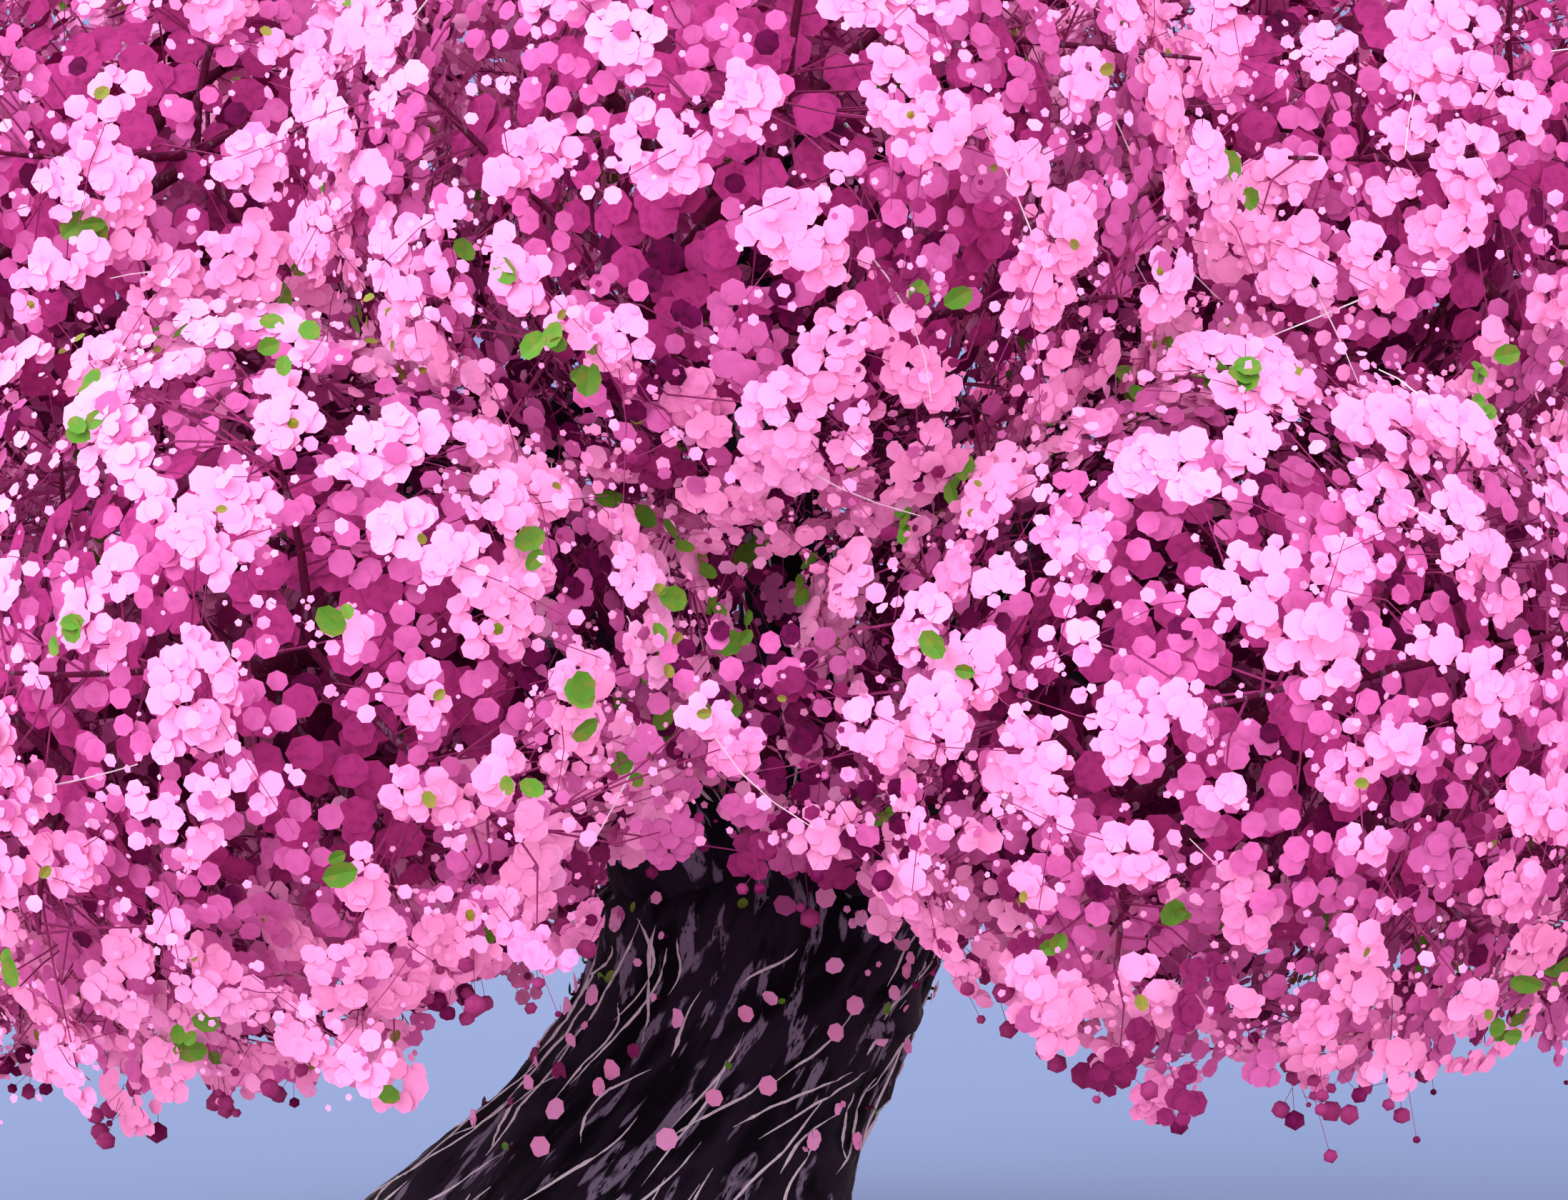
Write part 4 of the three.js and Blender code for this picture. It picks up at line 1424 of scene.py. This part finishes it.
class CHERRY_OT_wood(bpy.types.Operator):
    """Makes the trunk and all its limbs with furrowed bark, and the pale lines along it"""

    bl_idname = "cherry.wood"
    bl_label = "Trunk and Limbs"

    def execute(self, context):
        sizes = context.scene.cherry_sizes
        colours = context.scene.cherry_colours
        random = np.random.default_rng(SEED)
        bark = bark_material(
            "bark",
            colours.bark_furrow,
            colours.bark_ridge,
            colours.bark_patch,
            patches=0.6,
            on_skin=True,
        )
        trunk_bark = Bark(BARK_RADIUS, TRUNK_TOP, sizes.bark_relief, random)
        rise = np.linspace(0, FORK_HEIGHT, TRUNK_RINGS)
        dome = FORK_HEIGHT + CROTCH_RISE * np.sin(np.linspace(0, QUARTER, DOME_RINGS + 1)[1:])
        shares = np.concatenate([rise, dome]) / TRUNK_TOP
        shape, ridge, grain = bark_skin(trunk_surface, trunk_bark, TRUNK_SIDES, shares)
        looks = {"bark_ridge": ridge, "bark_grain": grain}
        add_piece("trunk_bark", shape, bark, ["trunk"], True, looks)
        width = sizes.line_width
        trunk_skin = trunk_bark.lay_on(trunk_surface), TRUNK_TOP
        lines = [self.lines(*trunk_skin, sizes.line_count, TRUNK_LINES_TOP, width, random)]
        width *= LIMB_LINE_SHARE
        skins = []
        for limb, _ in GROWN:
            thick = limb.radii[0] > THICK_LIMB
            relief = sizes.bark_relief * (THICK_RELIEF if thick else THIN_RELIEF)
            limb_bark = Bark(limb.radii.mean(), limb.length, relief, random)
            sides, rings = THICK_SIDES_AND_RINGS if thick else THIN_SIDES_AND_RINGS
            skins.append(bark_skin(limb.surface, limb_bark, sides, np.linspace(0, 1, rings)))
            if thick:
                limb_skin = limb_bark.lay_on(limb.surface), limb.length
                lines.append(self.lines(*limb_skin, LIMB_LINES, LIMB_LINES_TOP, width, random))
        ridge = np.concatenate([skin[1] for skin in skins])
        looks = {"bark_ridge": ridge, "bark_grain": np.vstack([skin[2] for skin in skins])}
        shape = joined([skin[0] for skin in skins])
        add_piece("limb_bark", shape, bark, LIMB_NODES, True, looks)
        pale = bark_material(
            "bark_line", colours.bark_patch, colours.bark_line, colours.bark_line, patches=0.6
        )
        add_piece("bark_lines", joined(lines), pale, ["trunk", *LIMB_NODES], True)
        return {"FINISHED"}

    def lines(self, surface, limb_length, count, highest, width, random):
        """Lines that follow the bark's grain in long bends, up to a share of the limb's length."""
        run = np.linspace(0, 1, LINE_STEPS)
        tracks = []
        for _ in range(count):
            length = random.uniform(*LINE_LENGTHS) / limb_length
            start = random.uniform(LINE_START, highest - length)
            lean = random.normal(*LINE_LEAN)
            lean += STEEP_LEAN if random.random() < STEEP_LEAN_SHARE else 0
            bend = random.normal(0, LINE_BEND) * np.sin(math.pi * run)
            curl = random.normal(0, LINE_CURL) * np.sin(2 * math.pi * run)
            around = random.random() + lean * run + bend + curl
            tracks.append(np.stack([around, start + length * run], axis=1))
        return ridge_strips(surface, tracks, width / 2, width * LINE_LIFT)


class CHERRY_OT_twigs(bpy.types.Operator):
    """Grows the stems, branches and twigs from the limbs' tips out to the sprays"""

    bl_idname = "cherry.twigs"
    bl_label = "Twigs"

    def execute(self, context):
        colours = context.scene.cherry_colours
        random = np.random.default_rng(SEED + 2)
        dark = bark_material(
            "twig_bark", colours.bark_furrow, colours.young_twig, colours.bark_patch, patches=0.3
        )
        young = bark_material(
            "young_twig", colours.young_twig, colours.bud, colours.petal_wine, patches=0.5
        )
        pale = bark_material(
            "pale_twig", colours.bark_patch, colours.bark_line, colours.petal_pale, patches=0.6
        )
        shapes = []
        fine_starts = []
        fine_ends = []
        deep = []
        for number, (limb, space) in enumerate(GROWN):
            branch_ends, twig_starts, twig_ends = mass_twigs(space, number)
            rise = np.array([[0, 0, STEM_RISE]])
            stem = bent(limb.path[-1:], space.centre[None], rise, STEM_STEPS)
            stem_end = STEM_TIP * STEM_THICKENS
            shapes.append(tapered(stem, limb.radii[-1], stem_end, STEM_SIDES))
            hearts = np.repeat(space.centre[None], BRANCHES, axis=0)
            bend = random.normal(0, BRANCH_BEND, (BRANCHES, 3))
            branches = bent(hearts, branch_ends, bend, TWIG_STEPS)
            tube_paths = branches[:, ::TUBE_STRIDE]
            shapes.append(tapered(tube_paths, BRANCH_RADIUS, TWIG_RADIUS, BRANCH_SIDES))
            bend = random.normal(0, TWIG_BEND, twig_starts.shape)
            twigs = bent(twig_starts, twig_ends, bend, TWIG_STEPS)
            tube_paths = twigs[:, ::TUBE_STRIDE]
            shapes.append(tapered(tube_paths, TWIG_RADIUS, TWIG_TIP * TWIG_THINS, TWIG_SIDES))
            limb_knots = limb.path[None, BARE_LIMB::LIMB_STRIDE]
            wood = branches[:, BARE_BRANCH:], twigs[:, 1:], limb_knots
            knots = np.vstack([line.reshape(-1, 3) for line in wood])
            further_out = FURTHER_OUT * np.linalg.norm(knots - space.centre, axis=1)
            for layer in (OUTER, INNER):
                places = layer.places[layer.owners == number]
                gaps = np.linalg.norm(places[:, None] - knots[None], axis=2)
                fine_starts.append(knots[(gaps + further_out).argmin(axis=1)])
                fine_ends.append(places)
                deep.append(np.full(len(places), layer is INNER))
        starts, ends = np.vstack(fine_starts), np.vstack(fine_ends)
        length = np.linalg.norm(ends - starts, axis=1, keepdims=True)
        lift = random.normal(0, TWIGLET_BEND, starts.shape) * length + (0, 0, TWIGLET_RISE)
        deep = np.concatenate(deep)
        twiglets = []
        for pick, points in ((~deep, 3), (deep, 2)):
            paths = bent(starts[pick], ends[pick], lift[pick], points)
            twiglets.append(tapered(paths, *TWIGLET_RADII, FINE_SIDES))
        light = random.random(len(SHOOTS)) < PALE_SHOOT_SHARE
        shoots = tapered(SHOOTS[~light][:, :: SHOOT_STEPS // 2], *SHOOT_RADII, FINE_SIDES)
        pale_shoots = tapered(SHOOTS[light][:, ::2], *PALE_SHOOT_RADII, FINE_SIDES)
        spurs = tapered(np.stack([SPUR_FEET, SPUR_TIPS], axis=1), *SPUR_RADII, SPUR_SIDES)
        add_piece("twigs", joined(shapes), dark, MASS_NODES, True)
        add_piece("twiglets", joined(twiglets), young, MASS_NODES)
        add_piece("shoots", shoots, young, MASS_NODES)
        add_piece("pale_shoots", pale_shoots, pale, MASS_NODES)
        add_piece("spurs", spurs, dark, ["trunk"])
        return {"FINISHED"}


class CHERRY_OT_blossom(bpy.types.Operator):
    """Covers the crown with flowers: tight sprays of one tone, loose ones on shoots, and specks"""

    bl_idname = "cherry.blossom"
    bl_label = "Outer Blossom"

    def execute(self, context):
        sizes = context.scene.cherry_sizes
        colours = context.scene.cherry_colours
        random = np.random.default_rng(SEED + 3)
        half = sizes.flower_width / 2
        places, ways, numbers = OUTER.flowers(
            sizes.fewest_flowers, sizes.most_flowers, sizes.flower_width, TIGHTNESS
        )
        # Each flower takes its spray's tone with its painted light and shade; a few strays take a tone at
        # random.
        tones = OUTER.tones[numbers]
        strays = random.random(len(tones)) < STRAY_SHARE
        tones = np.where(strays, random.integers(PALE, MAUVE + 1, len(tones)), tones)
        radii = half * np.exp(random.normal(0.0, SIZE_SPREAD, len(tones))).clip(*SIZE_LIMITS)
        along = SHOOTS[:, 2:].reshape(-1, 3)
        loose = along + random.normal(0, LOOSE_SCATTER, along.shape)
        behind = np.repeat(SHOOT_SPRAYS, SHOOT_STEPS - 2)
        faces = OUTER.ways[behind] + LOOSE_OUT * outward_level(loose)
        faces = unit(faces + random.normal(0, LOOSE_FACE_SCATTER, loose.shape))
        # Loose flowers are dealt tones with painted light and shade, paler than the sprays.
        loose_tones = deal_tones(loose, faces, LOOSE_SHADE, random)
        loose_sizes = LOOSE_SPREAD * random.random(len(loose)) ** LOOSE_CROWDING
        loose_radii = half * (LOOSE_SMALLEST + loose_sizes)
        on_spurs = SPUR_TIPS[SPUR_LEAVES:]
        spur_tones = random.choice(len(SPUR_TONE_SHARES), len(on_spurs), p=SPUR_TONE_SHARES)
        spur_radii = half * random.uniform(*SPUR_FLOWER_SIZES, len(on_spurs))
        specks, speck_ways = OUTER.specks(SPECKS_EACH, sizes.flower_width)
        # Specks are dealt tones with painted light and shade, paler still.
        speck_tones = deal_tones(specks, speck_ways, SPECK_SHADE, random)
        speck_radii = half * random.uniform(*SPECK_SIZES, len(specks))
        places = np.vstack([places, loose, on_spurs, specks])
        ways = np.vstack([ways, faces, SPUR_WAYS[SPUR_LEAVES:], speck_ways])
        radii = np.concatenate([radii, loose_radii, spur_radii, speck_radii])
        tones = np.concatenate([tones, loose_tones, spur_tones, speck_tones])
        turns = facing(ways, random.random(len(ways)) * 2 * math.pi)
        kinds = random.choice(len(OPEN_KIND_SHARES), len(radii), p=OPEN_KIND_SHARES)
        kinds[(radii < half) | (tones >= MAUVE)] = HALF_OPEN
        kinds[radii < half * SMALL_BELOW] = SMALL
        kinds[radii < half * SPECK_BELOW] = SPECK
        for tone, (name, colour, deep) in enumerate(
            (
                ("pale", colours.petal_pale, colours.petal_pink),
                ("pink", colours.petal_pink, colours.petal_rose),
                ("rose", colours.petal_rose, colours.petal_mauve),
                ("mauve", colours.petal_mauve, colours.petal_plum),
                ("dusk", colours.petal_dusk, colours.petal_dark),
            )
        ):
            shapes = []
            for kind, pattern in enumerate(FLOWERS):
                pick = (kinds == kind) & (tones == tone)
                shapes.append(copies(pattern, places[pick], turns[pick], radii[pick]))
            material = petal_material("petals_" + name, colour, deep)
            add_split_piece("blossom_" + name, joined(shapes), material)
        pick = (kinds < HALF_OPEN) & (random.random(len(radii)) < EYE_SHARE)
        eyes = copies(flower_eye(), places[pick], turns[pick], radii[pick])
        stamens = petal_material("stamens", colours.olive, colours.leaf, blotches=0.7)
        add_piece("flower_eyes", eyes, stamens, MASS_NODES)
        return {"FINISHED"}


class CHERRY_OT_inner_blossom(bpy.types.Operator):
    """Fills the shaded inside of each mass with plum, wine and dark flowers, whose colours are painted
    shade
    """

    bl_idname = "cherry.inner_blossom"
    bl_label = "Inner Blossom"

    def execute(self, context):
        sizes = context.scene.cherry_sizes
        colours = context.scene.cherry_colours
        random = np.random.default_rng(SEED + 4)
        shaded = []
        for name, layer, numbers_in, width, colour, deep in (
            ("plum", INNER, PLUM_FLOWERS, PLUM_WIDTH, colours.petal_plum, colours.petal_wine),
            ("wine", HEART, WINE_FLOWERS, WINE_WIDTH, colours.petal_wine, colours.petal_dark),
        ):
            places, ways, _ = layer.flowers(
                *numbers_in, sizes.flower_width * width, DEEP_TIGHTNESS
            )
            radii = random.uniform(*DEEP_FLOWER_SIZES, len(places))
            radii = sizes.flower_width / 2 * width * radii
            turns = facing(ways, random.random(len(ways)) * 2 * math.pi)
            # Painted shade: a few flowers at random, and most round the fork, take the dark colour.
            dark_share = DARK_SHARE + DARK_AT_FORK * fork_shade(places)
            dark = random.random(len(places)) < dark_share
            shape = copies(HALF_OPEN_FLOWER, places[~dark], turns[~dark], radii[~dark])
            material = petal_material("petals_" + name, colour, deep, blotches=0.35)
            add_split_piece("blossom_" + name, shape, material)
            shaded.append(copies(HALF_OPEN_FLOWER, places[dark], turns[dark], radii[dark]))
        material = petal_material(
            "petals_dark", colours.petal_dark, colours.bark_furrow, blotches=0.6
        )
        add_split_piece("blossom_dark", joined(shaded), material)
        return {"FINISHED"}


class CHERRY_OT_leaves(bpy.types.Operator):
    """Sets young leaves among the outer sprays and hangs plum buds under the crown"""

    bl_idname = "cherry.leaves"
    bl_label = "Leaves and Buds"

    def execute(self, context):
        sizes = context.scene.cherry_sizes
        colours = context.scene.cherry_colours
        random = np.random.default_rng(SEED + 5)
        for name, (share, row, width), colour, deep in (
            ("leaves", LEAF_ROWS, colours.leaf, colours.olive),
            ("leaf_tips", LEAF_TIP_ROWS, colours.olive, colours.leaf),
        ):
            chosen = np.flatnonzero(random.random(len(OUTER.places)) < share)
            ways = unit(OUTER.ways[chosen] + LEAF_OUT * outward_level(OUTER.places[chosen]))
            across = unit(np.cross(ways, random.normal(0, 1, ways.shape)))
            steps = across[:, None] * np.arange(row)[:, None] * sizes.leaf_length * LEAF_STEP
            firsts = OUTER.places[chosen] + ways * sizes.flower_width * LEAF_AHEAD
            spots = (firsts[:, None] + steps).reshape(-1, 3)
            spots = spots + random.normal(0, LEAF_SCATTER, spots.shape)
            kept = inside_box(spots, LEAF_MARGIN)
            kept &= random.random(len(spots)) < LEAF_KEPT_SHARE
            kept &= spots[:, 2] > lowest_height(spots) + LEAF_LIFT
            tilted = np.repeat(ways, row, axis=0) + random.normal(0, LEAF_TILT, spots.shape)
            tilted = unit(tilted)[kept]
            turns = facing(tilted, random.random(len(tilted)) * 2 * math.pi)
            lengths = sizes.leaf_length * width * random.uniform(*LEAF_SIZES, len(tilted))
            shapes = [copies(leaf_pattern(), spots[kept], turns, lengths)]
            if name == "leaves":
                turns = facing(SPUR_WAYS[:SPUR_LEAVES], random.random(SPUR_LEAVES) * 2 * math.pi)
                lengths = sizes.leaf_length * random.uniform(*SPUR_LEAF_SIZES, SPUR_LEAVES)
                shapes.append(copies(leaf_pattern(), SPUR_TIPS[:SPUR_LEAVES], turns, lengths))
            material = petal_material(name, colour, deep, blotches=0.5, gloss=0.5)
            add_piece(name, joined(shapes), material, MASS_NODES)
        low = np.flatnonzero(OUTER.places[:, 2] < lowest_height(OUTER.places) + BUD_BAND)
        budding = low[random.random(len(low)) < BUDDING_SHARE]
        held = np.repeat(budding, random.integers(*BUDS_EACH, len(budding)))
        tops = OUTER.places[held] + random.normal(0, BUD_TOP_SCATTER, (len(held), 3))
        drop = random.uniform(*BUD_DROPS, (len(held), 1))
        ends = tops + random.normal(0, BUD_SCATTER, tops.shape) - (0, 0, 1) * drop
        stalks = tapered(np.stack([tops, ends], axis=1), *STALK_RADII, FINE_SIDES)
        turns = facing(unit(ends - tops), random.random(len(ends)) * 2 * math.pi)
        radii = sizes.bud_width / 2 * random.uniform(*BUD_SIZES, len(ends))
        dark = random.random(len(ends)) < DARK_BUD_SHARE
        material = petal_material("bud_petals", colours.bud, colours.petal_dusk, blotches=0.9)
        add_piece("bud_stalks", stalks, material, MASS_NODES)
        buds = copies(bud_pattern(), ends[~dark], turns[~dark], radii[~dark])
        add_piece("buds", buds, material, MASS_NODES, True)
        material = petal_material(
            "dark_bud_petals", colours.petal_dark, colours.petal_dusk, blotches=0.5
        )
        buds = copies(bud_pattern(), ends[dark], turns[dark], radii[dark])
        add_piece("dark_buds", buds, material, MASS_NODES, True)
        return {"FINISHED"}


# Stage: the frame's size and middle are measured in the plane through the trunk's foot.
CAMERA_DISTANCE = 9.5
CAMERA_HEIGHT = 1.35
FRAME_WIDTH = 3.35
FRAME_MIDDLE = (0.454, 1.587)
CROWN_MIDDLE = (CROWN_AXIS_X, 0, 2.0)
FARTHEST_SEEN = 200
FLOOR_HALF = 60
FLOOR_ROUGHNESS = 0.9
FLOOR_COLOUR = linear(0.336, 0.432, 0.596)
BOUNCE_COLOUR = linear(0.72, 0.6, 0.66)
BACKDROP_COLOUR = linear(0.605, 0.66, 0.87)
ROOM_COLOUR = linear(1.0, 0.96, 0.99)
ROOM_STRENGTH = 1.52
LIGHTS = (
    ("front_light", (-1.5, -9.5, 3.0), 50, 0.9),
    ("key_light", (-6.0, -5.5, 7.5), 40, 1.65),
    ("right_light", (8.5, 2.5, 4.0), 50, 0.45),
    ("back_light", (-2.0, 9.0, 5.5), 50, 1.1),
)


class CHERRY_OT_stage(bpy.types.Operator):
    """Makes the pale floor, the soft studio lights and the camera"""

    bl_idname = "cherry.stage"
    bl_label = "Stage"

    def execute(self, context):
        scene = context.scene
        material, tree, shader = new_material("floor")
        seen = add_node(tree, "ShaderNodeLightPath").outputs["Is Camera Ray"]
        shown = blend(tree, seen, (*BOUNCE_COLOUR, 1), (*FLOOR_COLOUR, 1))
        tree.links.new(shown, shader.inputs["Base Color"])
        shader.inputs["Roughness"].default_value = FLOOR_ROUGHNESS
        half = FLOOR_HALF
        corners = [(-half, -half, 0), (half, -half, 0), (half, half, 0), (-half, half, 0)]
        mesh = bpy.data.meshes.new("floor")
        mesh.from_pydata(corners, [], [(0, 1, 2, 3)])
        mesh.materials.append(material)
        floor = bpy.data.objects.new("floor", mesh)
        scene.collection.objects.link(floor)
        for name, place, spread, power in LIGHTS:
            light = bpy.data.lights.new(name, "SUN")
            light.energy = power
            light.angle = math.radians(spread)
            lamp = bpy.data.objects.new(name, light)
            lamp.location = place
            aim = Vector(CROWN_MIDDLE) - Vector(place)
            lamp.rotation_euler = aim.to_track_quat("-Z", "Y").to_euler()
            scene.collection.objects.link(lamp)
        world = bpy.data.worlds.new("soft_room")
        world.use_nodes = True
        tree = world.node_tree
        seen = add_node(tree, "ShaderNodeLightPath").outputs["Is Camera Ray"]
        lit = [c * ROOM_STRENGTH for c in ROOM_COLOUR]
        shown = blend(tree, seen, (*lit, 1), (*BACKDROP_COLOUR, 1))
        tree.links.new(shown, tree.nodes["Background"].inputs["Color"])
        scene.world = world
        scene.view_settings.view_transform = "Standard"
        camera = bpy.data.cameras.new("camera")
        camera.lens = camera.sensor_width * CAMERA_DISTANCE / FRAME_WIDTH
        camera.clip_end = FARTHEST_SEEN
        eye = bpy.data.objects.new("camera", camera)
        eye.location = (FRAME_MIDDLE[0], -CAMERA_DISTANCE, CAMERA_HEIGHT)
        sight = Vector((FRAME_MIDDLE[0], 0, FRAME_MIDDLE[1])) - eye.location
        eye.rotation_euler = sight.to_track_quat("-Z", "Y").to_euler()
        scene.collection.objects.link(eye)
        scene.camera = eye
        return {"FINISHED"}


OPERATORS = (
    CHERRY_OT_wood,
    CHERRY_OT_twigs,
    CHERRY_OT_blossom,
    CHERRY_OT_inner_blossom,
    CHERRY_OT_leaves,
    CHERRY_OT_stage,
)


class CHERRY_PT_panel(bpy.types.Panel):
    """Lists the sizes, the colours and what each button makes"""

    bl_label = "Cherry Tree"
    bl_idname = "CHERRY_PT_panel"
    bl_space_type = "VIEW_3D"
    bl_region_type = "UI"
    bl_category = "Cherry Tree"

    def draw(self, context):
        for settings in (context.scene.cherry_sizes, context.scene.cherry_colours):
            box = self.layout.box()
            for name in settings.__annotations__:
                box.prop(settings, name)
        for operator in OPERATORS:
            self.layout.operator(operator.bl_idname)


CLASSES = (CherrySizes, CherryColours, *OPERATORS, CHERRY_PT_panel)


def register():
    for made in CLASSES:
        bpy.utils.register_class(made)
    bpy.types.Scene.cherry_sizes = PointerProperty(type=CherrySizes)
    bpy.types.Scene.cherry_colours = PointerProperty(type=CherryColours)


def unregister():
    del bpy.types.Scene.cherry_sizes
    del bpy.types.Scene.cherry_colours
    for made in reversed(CLASSES):
        bpy.utils.unregister_class(made)


def main():
    register()
    bpy.ops.cherry.wood()
    bpy.ops.cherry.twigs()
    bpy.ops.cherry.blossom()
    bpy.ops.cherry.inner_blossom()
    bpy.ops.cherry.leaves()
    bpy.ops.cherry.stage()


if __name__ == "__main__":
    main()
